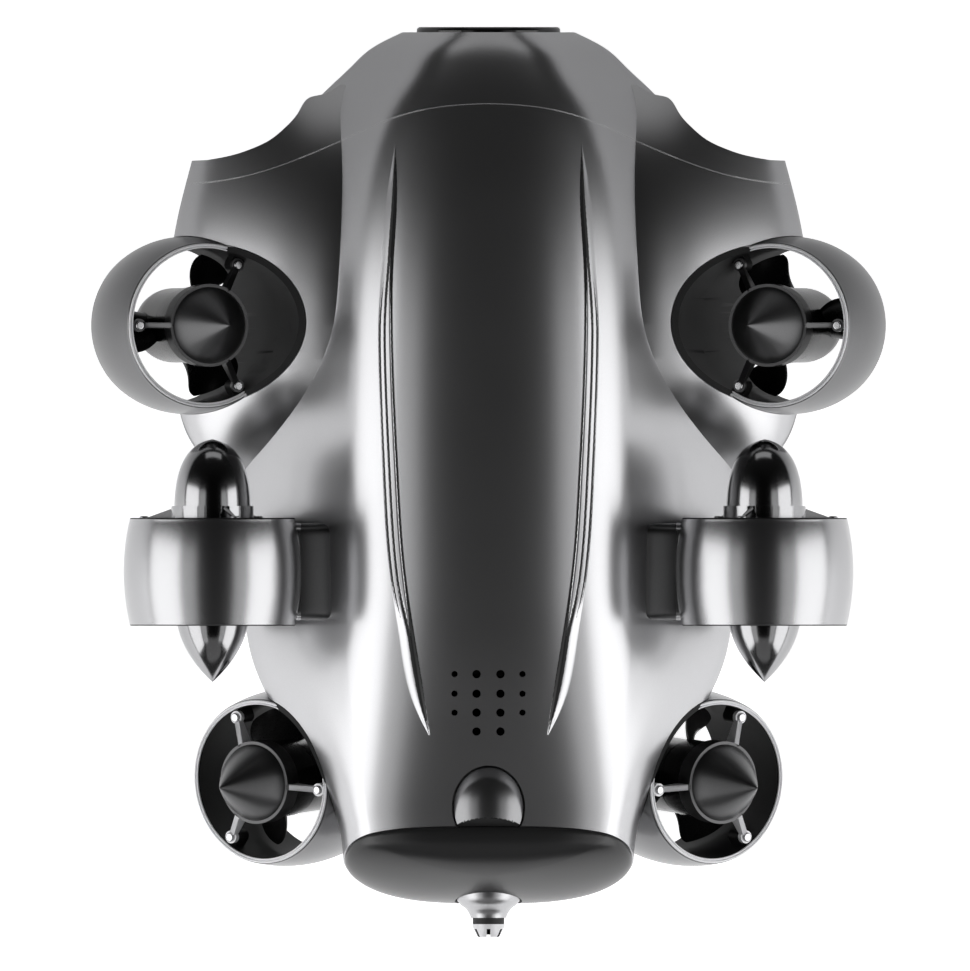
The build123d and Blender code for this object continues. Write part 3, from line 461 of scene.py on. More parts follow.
def behind_tail(name, offset):
    """Everything aft of the tail plane, as a cutter."""
    return block(name, (0, 0, DEPTH / 2 + offset), (2 * FAR, 2 * FAR, DEPTH), tail_frame)


def mirror_vector(v):
    """A place or direction mirrored in the vehicle's centre plane."""
    return np.array(v) * (-1, 1, 1)


def thruster_places():
    """Frames of the six thrusters, the port ones first worked out and then mirrored."""
    front_axis = np.array((math.sin(FRONT_TILT), 0, math.cos(FRONT_TILT)))
    front_leg = np.array((-front_axis[2], 0, front_axis[0]))
    out = math.sin(REAR_LEAN)
    rear_axis = np.array((-out * math.cos(REAR_YAW), -out * math.sin(REAR_YAW), math.cos(REAR_LEAN)))
    inward = np.cross(np.cross(rear_axis, (0, 1, 0)), rear_axis)
    inward /= np.linalg.norm(inward)
    side = np.cross(rear_axis, inward)
    rear_leg = side * math.cos(LEG_TURN) + inward * math.sin(LEG_TURN)
    port = {"front": (FRONT_RIM, front_axis, front_leg),
            "middle": (MIDDLE_RIM, (0, 1, 0), (math.sin(MIDDLE_ROLL), 0, math.cos(MIDDLE_ROLL))),
            "rear": (REAR_RIM, rear_axis, rear_leg)}
    frames = {}
    for row, (place, axis, leg) in port.items():
        frames[row + "_left"] = axis_frame(place, axis, leg)
        frames[row + "_right"] = axis_frame(mirror_vector(place), mirror_vector(axis), mirror_vector(leg))
    return frames


THRUSTERS = thruster_places()


# Finishes

def worked_out(tree, operation, *values):
    """A math node over numbers and the outputs of other nodes."""
    step = tree.nodes.new("ShaderNodeMath")
    step.operation = operation
    for socket, value in zip(step.inputs, values):
        if isinstance(value, float):
            socket.default_value = value
        else:
            tree.links.new(value, socket)
    return step.outputs[0]


def grain_group():
    """Shared surface variation: fine flecks, slow clouds, and a height made of both with light scuffs."""
    group = bpy.data.node_groups.new("surface_grain", "ShaderNodeTree")
    for name, value in (("Fleck Scale", 3000.0), ("Cloud Scale", 18.0), ("Scuff", 0.2)):
        socket = group.interface.new_socket(name, in_out="INPUT", socket_type="NodeSocketFloat")
        socket.default_value = value
    for name in ("Fleck", "Cloud", "Scuffs", "Height"):
        group.interface.new_socket(name, in_out="OUTPUT", socket_type="NodeSocketFloat")
    nodes, links = group.nodes, group.links
    given, made = nodes.new("NodeGroupInput"), nodes.new("NodeGroupOutput")
    place = nodes.new("ShaderNodeTexCoord")
    fleck, cloud, streak = (nodes.new("ShaderNodeTexNoise") for _ in range(3))
    fleck.inputs["Detail"].default_value = 1.0
    cloud.inputs["Detail"].default_value = 3.0
    streak.inputs["Detail"].default_value = 5.0
    streak.inputs["Scale"].default_value = 60.0
    streak.inputs["Distortion"].default_value = 1.6
    for node in (fleck, cloud, streak):
        links.new(place.outputs["Object"], node.inputs["Vector"])
    links.new(given.outputs["Fleck Scale"], fleck.inputs["Scale"])
    links.new(given.outputs["Cloud Scale"], cloud.inputs["Scale"])
    band = nodes.new("ShaderNodeMapRange")
    band.inputs["From Min"].default_value = 0.62
    band.inputs["From Max"].default_value = 0.74
    links.new(streak.outputs["Fac"], band.inputs["Value"])
    scuffs = worked_out(group, "MULTIPLY", band.outputs["Result"], given.outputs["Scuff"])
    height = worked_out(group, "MULTIPLY_ADD", fleck.outputs["Fac"], 0.5, cloud.outputs["Fac"])
    for name, value in (("Fleck", fleck.outputs["Fac"]), ("Cloud", cloud.outputs["Fac"]),
                        ("Scuffs", scuffs), ("Height", height)):
        links.new(value, made.inputs[name])
    return group


GRAIN = grain_group()


def finish(name, tones, rough, metal, scales, wear=(0.2, 0.02), sockets=()):
    """A finish whose colour runs between two tones with the flecks, whose roughness runs between two
    values with the clouds and scuffs, and whose bump follows the same grain. The scales are those of
    flecks and clouds, and wear is the scuffs' and the bump's strength."""
    material = bpy.data.materials.new(name)
    material.use_nodes = True
    nodes, links = material.node_tree.nodes, material.node_tree.links
    shader = nodes["Principled BSDF"]
    grain = nodes.new("ShaderNodeGroup")
    grain.node_tree = GRAIN
    for socket, value in zip(("Fleck Scale", "Cloud Scale", "Scuff"), (*scales, wear[0])):
        grain.inputs[socket].default_value = value
    tint = nodes.new("ShaderNodeMix")
    tint.data_type = "RGBA"
    for socket, tone in zip("AB", tones):
        tint.inputs[socket].default_value = (*tone, 1)
    links.new(grain.outputs["Fleck"], tint.inputs["Factor"])
    links.new(tint.outputs["Result"], shader.inputs["Base Color"])
    span = nodes.new("ShaderNodeMapRange")
    span.inputs["To Min"].default_value = rough[0]
    span.inputs["To Max"].default_value = rough[1]
    links.new(grain.outputs["Cloud"], span.inputs["Value"])
    worn = worked_out(material.node_tree, "ADD", span.outputs["Result"], grain.outputs["Scuffs"])
    links.new(worn, shader.inputs["Roughness"])
    relief = nodes.new("ShaderNodeBump")
    relief.inputs["Strength"].default_value = wear[1]
    relief.inputs["Distance"].default_value = 0.0004
    links.new(grain.outputs["Height"], relief.inputs["Height"])
    links.new(relief.outputs["Normal"], shader.inputs["Normal"])
    shader.inputs["Metallic"].default_value = metal
    for socket, value in dict(sockets).items():
        shader.inputs[socket].default_value = value
    return material


LACQUER = {"Coat Weight": 0.15, "Coat Roughness": 0.2}
MIRROR = {"Coat Weight": 0.3, "Coat Roughness": 0.06}
GLASS = {"Transmission Weight": 1.0, "IOR": 1.45}
PALE_GLASS = ((0.92, 0.96, 0.97), (0.96, 0.98, 0.99))
BATTERY_BLUE = ((0.04, 0.09, 0.22), (0.06, 0.12, 0.28))
BOARD_GREEN = ((0.02, 0.12, 0.05), (0.03, 0.18, 0.08))
BRASS = ((0.55, 0.40, 0.16), (0.68, 0.50, 0.22))
SMOOTH = (0.0, 0.012)


def greys(dark, light):
    """Two greys with a trace of blue, between which a finish's flecks run."""
    return (dark, dark, dark * 1.02), (light, light, light * 1.02)


# The record's slots: tones, roughness, metal, scales of flecks and clouds, scuff and bump, coat
FINISHES = {row[0]: finish(*row) for row in (
    ("hull_paint", greys(0.44, 0.56), (0.26, 0.31), 0.97, (5000, 14), SMOOTH, LACQUER),
    ("duct_paint", greys(0.38, 0.46), (0.22, 0.27), 0.97, (5000, 14), SMOOTH, LACQUER),
    ("black_moulding", greys(0.010, 0.022), (0.16, 0.26), 0.0, (1800, 40), (0.08, 0.05)),
    ("pod_gloss", greys(0.30, 0.37), (0.13, 0.18), 1.0, (2600, 24), SMOOTH, MIRROR),
    ("cap_gloss", greys(0.030, 0.042), (0.28, 0.34), 0.55, (4200, 16), SMOOTH, LACQUER),
    ("bezel_gloss", greys(0.012, 0.020), (0.10, 0.18), 0.0, (2000, 30), (0.05, 0.02)),
    ("rim_chrome", greys(0.60, 0.70), (0.18, 0.26), 1.0, (2400, 60), (0.05, 0.01)),
    ("steel", greys(0.50, 0.62), (0.18, 0.30), 1.0, (2600, 80), (0.10, 0.03)),
    ("seal_rubber", greys(0.014, 0.024), (0.55, 0.70), 0.0, (1500, 50), (0.05, 0.10)),
    ("anodised", greys(0.10, 0.15), (0.35, 0.45), 0.8, (3000, 25), (0.08, 0.04)),
    ("battery_wrap", BATTERY_BLUE, (0.30, 0.42), 0.0, (900, 20)),
    ("board_green", BOARD_GREEN, (0.35, 0.5), 0.0, (1200, 60)),
    ("insert_brass", BRASS, (0.2, 0.35), 1.0, (2000, 60)),
    ("window_glass", PALE_GLASS, (0.01, 0.03), 0.0, (900, 12), (0.0, 0.0), GLASS))}

# Linings, and the painted shade of the ribs' grooves
LINER = finish("liner_black", greys(0.012, 0.020), (0.52, 0.62), 0.0, (1500, 30), (0.05, 0.03),
               {"Specular IOR Level": 0.15})
# The ribs' groove finish is dark: a painted shade
GROOVE_SHADE = finish("rib_groove_shade", greys(0.016, 0.026), (0.4, 0.5), 0.3, (2400, 40), (0.03, 0.02))

# Grades of the slots' finishes: the tilted thrusters' ring and pod grades are darker copies, a painted
# shade; the pale rim grade is a painted reflection of chrome; the other small trim is satin
SHADED_RING_PAINT = finish("ring_paint_shaded", greys(0.15, 0.20), (0.26, 0.32), 0.97, (5000, 14), SMOOTH, LACQUER)
SHADED_POD_SATIN = finish("pod_satin_shaded", greys(0.080, 0.105), (0.36, 0.42), 0.95, (2600, 24), SMOOTH, LACQUER)
PLUG_SATIN = finish("plug_satin", greys(0.20, 0.26), (0.26, 0.32), 0.95, (4200, 16), SMOOTH, LACQUER)
# Pale rim grade: a painted reflection standing in for the chrome's shine
RIM_PAINTED_SHEEN = finish("rim_painted_sheen", greys(0.86, 0.94), (0.26, 0.34), 0.10, (2400, 60), (0.0, 0.01))
BOSS_SATIN = finish("boss_satin", greys(0.42, 0.52), (0.30, 0.36), 1.0, (2400, 60), (0.0, 0.01))
SEAM_GREY = finish("seam_grey", greys(0.34, 0.44), (0.45, 0.55), 0.3, (2400, 60), (0.0, 0.01))


def fit(piece, body, slot, *nodes, grade=None, extra=()):
    """Gives a piece its slot's finish or a grade of it, and its body, and hides the nodes it stands for."""
    piece.data.materials.clear()
    for material in (grade or FINISHES[slot], *extra):
        piece.data.materials.append(material)
    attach(piece, body)
    if nodes:
        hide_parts(*nodes)
    return piece


def paint_by(piece, chosen):
    """Sets each face's material by a function of the faces' centres in millimetres, as one array."""
    mesh = piece.data
    centres = np.empty(len(mesh.polygons) * 3)
    mesh.polygons.foreach_get("center", centres)
    normals = np.empty(len(mesh.polygons) * 3)
    mesh.polygons.foreach_get("normal", normals)
    index = chosen(centres.reshape(-1, 3) / MM, normals.reshape(-1, 3)).astype(np.int32)
    mesh.polygons.foreach_set("material_index", index)


def smooth_copy(node, name, body, slot, grade=None, extra=()):
    """A CAD node's mesh with its loose triangles joined and smoothly shaded."""
    copy = twin(frame["nodes"][node], name)
    work = bmesh.new()
    work.from_mesh(copy.data)
    bmesh.ops.remove_doubles(work, verts=work.verts, dist=1e-6)
    work.to_mesh(copy.data)
    work.free()
    copy.data.polygons.foreach_set("material_index", np.zeros(len(copy.data.polygons), np.int32))
    return fit(smooth(copy, 30), body, slot, node, grade=grade, extra=extra)


# Duct forms in the thruster's frame

def ring_profile(grow=0.0):
    """Duct section: a straight bore, rounded lips and a crowned outside."""
    lip = 0.8
    crown_y = -LENGTH / 2
    rise = MID_R - END_R
    half = LENGTH / 2 - lip
    radius = (half ** 2 + rise ** 2) / (2 * rise)
    turn = math.degrees(math.asin(half / radius))
    outside = arc((MID_R - radius, crown_y), radius, turn, -turn, 32)
    top = arc((END_R - lip, -lip), lip, 90, 8, 6)
    bottom = arc((END_R - lip, -LENGTH + lip), lip, -8, -90, 6)
    inner = np.array([(BORE + 0.5, -LENGTH), (BORE, -LENGTH + 0.5), (BORE, -LENGTH / 2), (BORE, -0.5),
                      (BORE + 0.5, 0)])
    return np.concatenate([top, outside, bottom, inner]) + (grow, 0)


def envelope(name, at):
    """The space that a duct takes out of the hull: its crowned outside, carried on beyond both ends."""
    outer = ring_profile(SEAT_GAP)[6:38]
    reach = END_R + SEAT_GAP
    profile = np.concatenate([[(0, ABOVE), (reach, ABOVE), (reach, SEAT_GAP)], outer,
                              [(reach, -LENGTH - SEAT_GAP), (reach, BELOW), (0, BELOW)]])
    return lathe(name, profile, at, 128)


# Hull shells

ROWS, COLUMNS = ((240, 66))
hull = hull_mass("hull", 0.0, ROWS, COLUMNS)
solid_hull = twin(hull, "solid_hull")
cavity = hull_mass("cavity", WALL, 90, 36)
nose_frame = axis_frame((0, 0, CAMERA_Z), (0, 1, 0), (1, 0, 0))
port_frame = standing(0, PORT_Y)
cavity_copy = twin(cavity, "cavity_copy")
nose_wall = block("nose_wall", (0, 188 - WALL + 60, 0), (2 * FAR, 120, 2 * FAR), standing(0, 0))
combine(cavity, [nose_wall], "DIFFERENCE")


def rod(name, radius, low, high, at, segments):
    """A plain round cutter along a frame's axis."""
    return lathe(name, [(0, low), (radius, low), (radius, high), (0, high)], at, segments)


def lamp_frame(side):
    """A lamp's frame: its axis looks ahead and outward."""
    return axis_frame((side * LAMP_AT[0], LAMP_AT[1], LAMP_AT[2]),
                      (side * math.sin(LAMP_YAW), math.cos(LAMP_YAW), 0), (0, 0, 1))


def oval(name, grow, low, high):
    """The port's oval, grown by a margin, as an upright column."""
    reach = PORT_HALF[0] + grow
    profile = [(0, low), (reach, low), (reach, high), (0, high)]
    return lathe(name, profile, port_frame, 96, (1, (PORT_HALF[1] + grow) / reach))


combine(hull, [cavity, behind_tail("tail_cut", 0)], "DIFFERENCE")
combine(hull, [envelope("cut_" + place, THRUSTERS[place]) for place in THRUSTERS
               if not place.startswith("middle")], "DIFFERENCE")
combine(hull, [rod("bezel_cut", 30.25, 150, 230, nose_frame, 128)]
        + [rod("lamp_cut", 12.15, -20, 20, lamp_frame(side), 64) for side in (-1, 1)], "DIFFERENCE")

seam = chord_spline(COWL_SEAM, 80)
seam = np.concatenate([seam[:0:-1] * (-1, 1), seam])
ahead = np.concatenate([seam, [(140, FAR), (-140, FAR)]])
behind = np.concatenate([seam - (0, SEAM), [(140, FAR), (-140, FAR)]])
parting = natural_spline(PARTING[:, 0], PARTING[:, 1], np.linspace(-200, 200, 90))[:, 0]
line = np.stack([np.linspace(-200, 200, 90), parting], axis=-1)
over = np.concatenate([line + (0, SEAM / 2), [(200, FAR), (-200, FAR)]])
under = np.concatenate([line - (0, SEAM / 2), [(200, FAR), (-200, FAR)]])

seam_band = np.concatenate([seam - (0, 0.02), (seam - (0, SEAM - 0.02))[::-1]])
seam_line = combine(twin(solid_hull, "seam_line"), [prism("seam_band", seam_band, -FAR, FAR)], "INTERSECT")
combine(seam_line, [cavity_copy], "DIFFERENCE")
combine(seam_line, [envelope("seam_cut", THRUSTERS["front_" + side]) for side in ("left", "right")],
        "DIFFERENCE")
fit(smooth(seam_line, 30), "hull", "hull_paint", grade=SEAM_GREY)

cowl = combine(twin(hull, "nose_cowl"), [prism("ahead", ahead, -FAR, FAR)], "INTERSECT")
combine(hull, [prism("behind", behind, -FAR, FAR)], "DIFFERENCE")
belly = combine(twin(hull, "belly_shell"), [prism("under", under, -FAR, FAR, upright=False)], "DIFFERENCE")
deck = combine(hull, [prism("over", over, -FAR, FAR, upright=False)], "INTERSECT")
deck.name = "deck_shell"

well = oval("well", SEAT_GAP + WELL_WALL, PORT_FLOOR - WELL_WALL, PORT_CROWN)
combine(deck, [combine(well, [solid_hull], "INTERSECT", keep=True)], "UNION")
combine(deck, [oval("port_cut", SEAT_GAP, PORT_FLOOR, 150), oval("port_shadow", 0.9, PORT_FLOOR + 6, 150),
               behind_tail("tail_trim", 0)], "DIFFERENCE")


def upright(name, x, y, radius, low, high, segments=48):
    """A plain round column over a plan point."""
    return rod(name, radius, low, high, standing(x, y), segments)


vents = [upright("vent", side * x, y, r, 94, 150, 32) for x, y, r in VENTS for side in (-1, 1)]
combine(deck, vents, "DIFFERENCE")


screw_places = [(x, y) for y in (104, 20, -56) for x in (-40, 40)]
combine(belly, [upright("insert_boss", 0, y, 9, 1.2, 12.6) for y in (56, -16)]
        + [upright("screw_boss", x, y, 4.6, 1.2, 13.2) for x, y in screw_places], "UNION")
combine(belly, [upright("insert_cut", 0, y, 6.02, -2, 10.5) for y in (56, -16)]
        + [upright("screw_cut", x, y, 1.55, -2, 11) for x, y in screw_places]
        + [upright("head_cut", x, y, 3.05, -2, 2.05) for x, y in screw_places], "DIFFERENCE")
for shell, node in ((cowl, "front_cowl"), (deck, "top_shell"), (belly, "bottom_shell")):
    fit(smooth(shell, 30), "hull", "hull_paint", node)
# Ribs: faces in their grooves get the dark groove finish, a painted shade
for name, side in (("port_rib", -1), ("starboard_rib", 1)):
    strip, groove_shade = rib_strip(name, side)
    paint_by(fit(smooth(strip, 60), "hull", "hull_paint", extra=(GROOVE_SHADE,)), groove_shade)


# Thrusters

def blade_surface():
    """One blade as rings from root to tip: a thin rounded section whose chord, pitch and sweep change."""
    share = np.linspace(0, 1, 26)
    radius = 14.0 + share * 16.4
    chord = 18.5 + 9.0 * share - 7.0 * share ** 8
    pitch = np.radians(52 - 25 * share)
    thick = 1.5 - 0.75 * share
    sweep = 2.2 * np.sin(share * math.pi)
    turn = np.linspace(0, 2 * math.pi, 40, endpoint=False)
    along = np.cos(turn)[None] * chord[:, None] / 2
    across = np.sin(turn)[None] * thick[:, None] + 0.9 * (1 - np.cos(turn)[None] ** 2)
    y = along * np.cos(pitch)[:, None] - across * np.sin(pitch)[:, None] + sweep[:, None]
    z = along * np.sin(pitch)[:, None] + across * np.cos(pitch)[:, None]
    bend = y / radius[:, None]
    rings = np.stack([radius[:, None] * np.cos(bend), radius[:, None] * np.sin(bend), z - 28.0], axis=-1)
    return rings


def spun(rings, count):
    """Copies of a set of rings turned about the axis."""
    out = []
    for k in range(count):
        a = 2 * math.pi * k / count
        turn = np.array([(math.cos(a), -math.sin(a), 0), (math.sin(a), math.cos(a), 0), (0, 0, 1)])
        out.append(rings @ turn.T)
    return out


def bezier_profile(*control, count=28):
    """Points of one Bezier arc in a profile's plane."""
    return bezier(np.array(control, float), np.linspace(0, 1, count))


def lug_rings(turn):
    """A lug on the bore: a round pad at the screw, drawn to the wall, between two levels."""
    tip = arc((29.2, 0), 2.7, 90, 270, 24)
    outline = np.concatenate([tip, [(BORE + 1.2, -2.7), (BORE + 1.2, 2.7)]])
    spin = np.array([(math.cos(turn), math.sin(turn)), (-math.sin(turn), math.cos(turn))])
    flat = outline @ spin
    return np.stack([np.column_stack([flat, np.full(len(flat), z)]) for z in (-2.6, -9.6)])


def pylon_form(side):
    """Arm between a middle duct and the hull: flat-bottomed sections with a domed top that falls inward."""
    x = np.linspace(84.5, 50, 24)
    turn = np.linspace(0, 2 * math.pi, 72, endpoint=False)
    fall = np.clip((80 - x) / 16, 0, 1) ** 1.5
    y = np.sign(np.cos(turn)) * np.abs(np.cos(turn)) ** 0.16 * 20.3
    z = np.sign(np.sin(turn)) * np.abs(np.sin(turn)) ** 0.6
    crown = 12.8 - 4.4 * fall[:, None]
    level = ARM_LEVEL + np.where(z > 0, z * crown, z * 0.2)
    grid = np.broadcast_arrays(x[:, None] * side, ARM_Y + y, level)
    return tube_object("pylon", np.stack(grid, axis=-1))


def around(at, centres):
    """Points in a frame's own coordinates, and their distances from its axis."""
    relative = (centres - at[:, 3]) @ at[:, :3]
    return relative, np.hypot(relative[:, 0], relative[:, 1])


for place, at in THRUSTERS.items():
    level = place.startswith("middle")
    rotor = place + "_rotor"
    duct = lathe(place + "_shroud", ring_profile(), at, 160)
    turns = [math.radians(120 * k) for k in range(3)]
    combine(duct, [placed_tube("lug", lug_rings(turn), at) for turn in turns], "UNION")
    if level:
        side = -1 if place.endswith("left") else 1
        pylon = combine(pylon_form(side), [solid_hull], "DIFFERENCE", keep=True)
        combine(pylon, [rod("bore", BORE + 0.6, -60, 10, at, 128)], "DIFFERENCE")
        combine(duct, [pylon], "UNION")
    else:
        sleeve = lathe("sleeve", [(END_R, BELOW), (END_R, ABOVE), (BORE, ABOVE), (BORE, BELOW)], at, 160)
        combine(sleeve, [solid_hull], "INTERSECT", keep=True)
        combine(duct, [sleeve], "UNION")
    # Tilted thrusters take darker copies of the ring and pod finishes: a painted shade
    ring_shade_grade, pod_shade_grade = (None, None) if level else (SHADED_RING_PAINT, SHADED_POD_SATIN)
    fit(smooth(duct, 35), "hull", "duct_paint", grade=ring_shade_grade, extra=(LINER, SHADED_POD_SATIN))

    def duct_face(centres, normals, at=at, level=level):
        """The lining is black. A level duct's end lines and a tilted duct's lip are painted shade lines,
        and a tilted duct's sleeve above the rim takes the black lining as painted shade in the recess; a
        level duct's arm takes the dark pod satin as a painted shadow.
        """
        relative, radius = around(at, centres)
        facing = normals @ at[:, :3]
        inward = (facing[:, 0] * relative[:, 0] + facing[:, 1] * relative[:, 1]) / np.maximum(radius, 1)
        lining = (radius < BORE + 0.6) & ((inward < -0.3) | (np.abs(relative[:, 2] + 6) < 4.5))
        end = (relative[:, 2] > -0.9) | (relative[:, 2] < 0.9 - LENGTH)
        if level:
            # Painted shadow: the arm's dark satin; painted shade lines: the level duct's end faces
            arm_shadow, outline = radius > MID_R + 0.15, end & (np.abs(facing[:, 2]) > 0.3)
            return np.where(arm_shadow, 2, np.where(lining | outline, 1, 0))
        # Painted shade: the tilted duct's lip line, and its sleeve above the rim in the recess
        lip = end & (np.abs(facing[:, 2]) > 0.85) & (radius > BORE)
        return np.where(lip | lining | (relative[:, 2] > 0.4), 1, 0)

    paint_by(duct, duct_face)
    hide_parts(place + "_duct")
    nose, full, tip_width, tip_length = LEVEL_NOSE if level else TILTED_NOSE
    taper = nose - NOSE_FROM
    ogive = bezier_profile((POD_R, NOSE_FROM), (POD_R, NOSE_FROM + full * taper),
                           (POD_R * tip_width, nose - tip_length * taper), (0, nose), count=40)
    pod_line = np.concatenate([[(0, -18), (15.6, -18), (POD_R, -17.6)], ogive])
    pod = smooth(lathe(place + "_pod", pod_line, at, 96), 40)
    fit(pod, "hull", "pod_gloss", place + "_motor_pod", grade=pod_shade_grade,
        extra=(FINISHES["black_moulding"],))

    def pod_shade_face(centres, normals, at=at):
        """A tilted pod takes the black moulding below its nose, a painted shade."""
        return (centres - at[:, 3]) @ at[:, 2] < 3.0

    if not level:
        paint_by(pod, pod_shade_face)
    # A tilted thruster's cage takes the darker pod copy, a painted shade
    cage = smooth_copy(place + "_guard", place + "_cage", "hull", "pod_gloss", grade=pod_shade_grade,
                       extra=(RIM_PAINTED_SHEEN,))

    def leg_sheen(centres, normals, at=at):
        """A rear guard's legs take the pale rim grade, a painted reflection; its collar doesn't."""
        return around(at, centres)[1] > COLLAR_AT

    if place.startswith("rear"):
        paint_by(cage, leg_sheen)
    hub = np.concatenate([[(0, -18.5), (15.2, -18.5), (15.6, -18.9)],
                          bezier_profile((15.6, -38), (15.6, -51.8), (7.0, -62.5), (0, -68.6))])
    screw_prop = lathe(place + "_prop", hub, at, 96)
    combine(screw_prop, [placed_tube("blade", blade, at) for blade in spun(blade_surface(), 3)], "UNION")
    fit(smooth(screw_prop, 35), rotor, "black_moulding", place + "_propeller",
        extra=(FINISHES["pod_gloss" if level else "black_moulding"],))

    def hub_face(centres, normals, at=at):
        """The hub has a finish of its own."""
        return around(at, centres)[1] < HUB_R

    paint_by(screw_prop, hub_face)
    smooth_copy(place + "_shaft", place + "_axle", rotor, "steel")
    if not level:
        inner_bead, outer_bead = arc((32.62, 0.35), 0.32, 180, 0, 9), arc((33.72, 0.2), 0.52, 180, 0, 13)
        bead = np.concatenate([[(32.3, 0.0)], inner_bead, [(32.95, 0.03), (33.2, 0.03)], outer_bead,
                               [(34.24, 0.0)]])
        band = lathe(place + "_lip", bead, at, 160)
        combine(band, [solid_hull], "DIFFERENCE", keep=True)
        # The chrome rim takes the pale grade: a painted reflection
        fit(smooth(band, 40), "hull", "rim_chrome", place + "_rim", grade=RIM_PAINTED_SHEEN)

smooth_copy("guard_screws", "cage_screws", "hull", "steel")


# Tail: cap, port dome and gland

def tail_lens():
    """The cap as a lens: rings of points that shrink from the tail's outline to the middle, raised over the
    tail plane by a power of one minus the square of their share."""
    rings = barrel_rings(CAP_INSET, 300, 90)
    local = (rings - tail_frame[:, 3]) @ tail_frame[:, :3]
    row = np.argmax(local[..., 2] > 0, axis=0)
    column = np.arange(rings.shape[1])
    after, before = local[row, column], local[row - 1, column]
    mix = (before[:, 2] / (before[:, 2] - after[:, 2]))[:, None]
    edge = (before + mix * (after - before))[:, :2]
    middle = np.array((0.0, edge[:, 1].mean()))
    share = np.sin(np.linspace(1, 0.01, 60) * math.pi / 2)
    flat = middle + share[:, None, None] * (edge - middle)
    rise = SEAT_GAP + 0.3 + (CAP_BULGE - SEAT_GAP - 0.3) * (1 - share ** 2) ** 0.54
    top = np.concatenate([flat, np.broadcast_to(rise[:, None, None], flat.shape[:2] + (1,))], axis=-1)
    base = np.concatenate([edge, np.full((len(edge), 1), SEAT_GAP)], axis=-1)[None]
    return placed_tube("tail_lens", np.concatenate([base, top]), tail_frame)


cap = tail_lens()
gland_frame = axis_frame((0, 0, GLAND_Z), (0, -1, 0), (1, 0, 0))
combine(cap, [rod("gland_cut", 14.02, 100, 230, gland_frame, 96)], "DIFFERENCE")
fit(smooth(cap, 30), "hull", "cap_gloss", "tail_cap")

share = np.linspace(0, 1, 30)
dome = np.stack([PORT_HALF[0] * share, PORT_CROWN - 5.5 * share ** 2.2], axis=-1)
dome = np.concatenate([dome, [(PORT_HALF[0], PORT_FLOOR), (0, PORT_FLOOR)]])
plug = lathe("port_plug", dome, port_frame, 128, (1, PORT_HALF[1] / PORT_HALF[0]))
combine(plug, [behind_tail("plug_trim", -SEAT_GAP)], "DIFFERENCE")
fit(smooth(plug, 40), "hull", "cap_gloss", "tail_plug", grade=PLUG_SATIN, extra=(LINER,))


def plug_end(centres, normals):
    """The plug's end towards the cap is dark."""
    return np.abs((centres - tail_frame[:, 3]) @ tail_frame[:, 2] + SEAT_GAP) < 0.2


paint_by(plug, plug_end)

boss = [(CORD_R, 158), (14.0, 158), (14.0, 170), (13.8, 173), (13.0, 175.2), (11.4, 176.9), (9.6, 178.2),
        (8.4, 179.8), (7.7, 181.2), (7.5, 182.2), (CORD_R, 182.2)]
fit(smooth(lathe("gland_body", boss, gland_frame, 96), 40), "hull", "rim_chrome", "gland_boss",
    grade=BOSS_SATIN)
seal = [(CORD_R, 182.2), (6.6, 182.2), (6.6, 184.8), (3.4, 184.8), (3.4, 189.2), (CORD_R, 189.2)]
fit(smooth(lathe("gland_ring", seal, gland_frame, 64)), "hull", "seal_rubber", "gland_seal")
claws = [(3.45, 184.8), (6.9, 184.8), (6.7, 186.0), (4.9, 189.6), (4.4, 190.2), (3.45, 190.2)]
collet = lathe("gland_claws", claws, gland_frame, 96)
slots = []
for turn in range(6):
    angle = math.radians(30 + 60 * turn)
    direction = (math.cos(angle), 0, math.sin(angle))
    slot_frame = axis_frame((0, -190.2, GLAND_Z), (0, -1, 0), direction)
    slots.append(block("slot", (6.9, 0, 0), (13.8, 1.5, 6.7), slot_frame))
combine(collet, slots, "DIFFERENCE")
# The collet takes the pale rim grade, a painted reflection, and painted shade inside and in its slots
fit(smooth(collet, 35), "hull", "rim_chrome", "gland_collet", grade=RIM_PAINTED_SHEEN, extra=(LINER,))


def claw_shade(centres, normals):
    """The collet takes the black lining inside and in its slots, a painted shade in its hollows."""
    relative, radius = around(gland_frame, centres)
    facing = normals @ gland_frame[:, :3]
    outward = (facing[:, 0] * relative[:, 0] + facing[:, 1] * relative[:, 1]) / np.maximum(radius, 0.1)
    return (outward < 0.25) & (radius < 6.6)


paint_by(collet, claw_shade)


# Nose camera

bezel = np.concatenate([[(23.62, 174), (30, 174), (30, 188.6)], arc((28.6, 188.8), 1.4, 0, 90, 6),
                        [(23.4, 190.2), (23.0, 190.0), (22.0, 188.6), (23.62, 188.6)]])
fit(smooth(lathe("camera_ring", bezel, nose_frame, 128), 35), "hull", "bezel_gloss", "camera_bezel")
fit(smooth(rod("camera_port", 23.6, 186.2, 188.55, nose_frame, 96), 35), "hull", "window_glass",
    "camera_window")
smooth_copy("camera_housing", "camera_case", "hull", "bezel_gloss")
lens = [(0, 135), (15, 135), (15, 157), (11, 157), (11, 182.2), (9.4, 182.2), (8.6, 181), (7.0, 179.2),
        (5, 179.9), (2.5, 180.3), (0, 180.4)]
fit(smooth(lathe("camera_eye", lens, nose_frame, 96), 25), "hull", "bezel_gloss", "camera_lens")


# Lamps, finishes of the inner pieces, and small metal parts

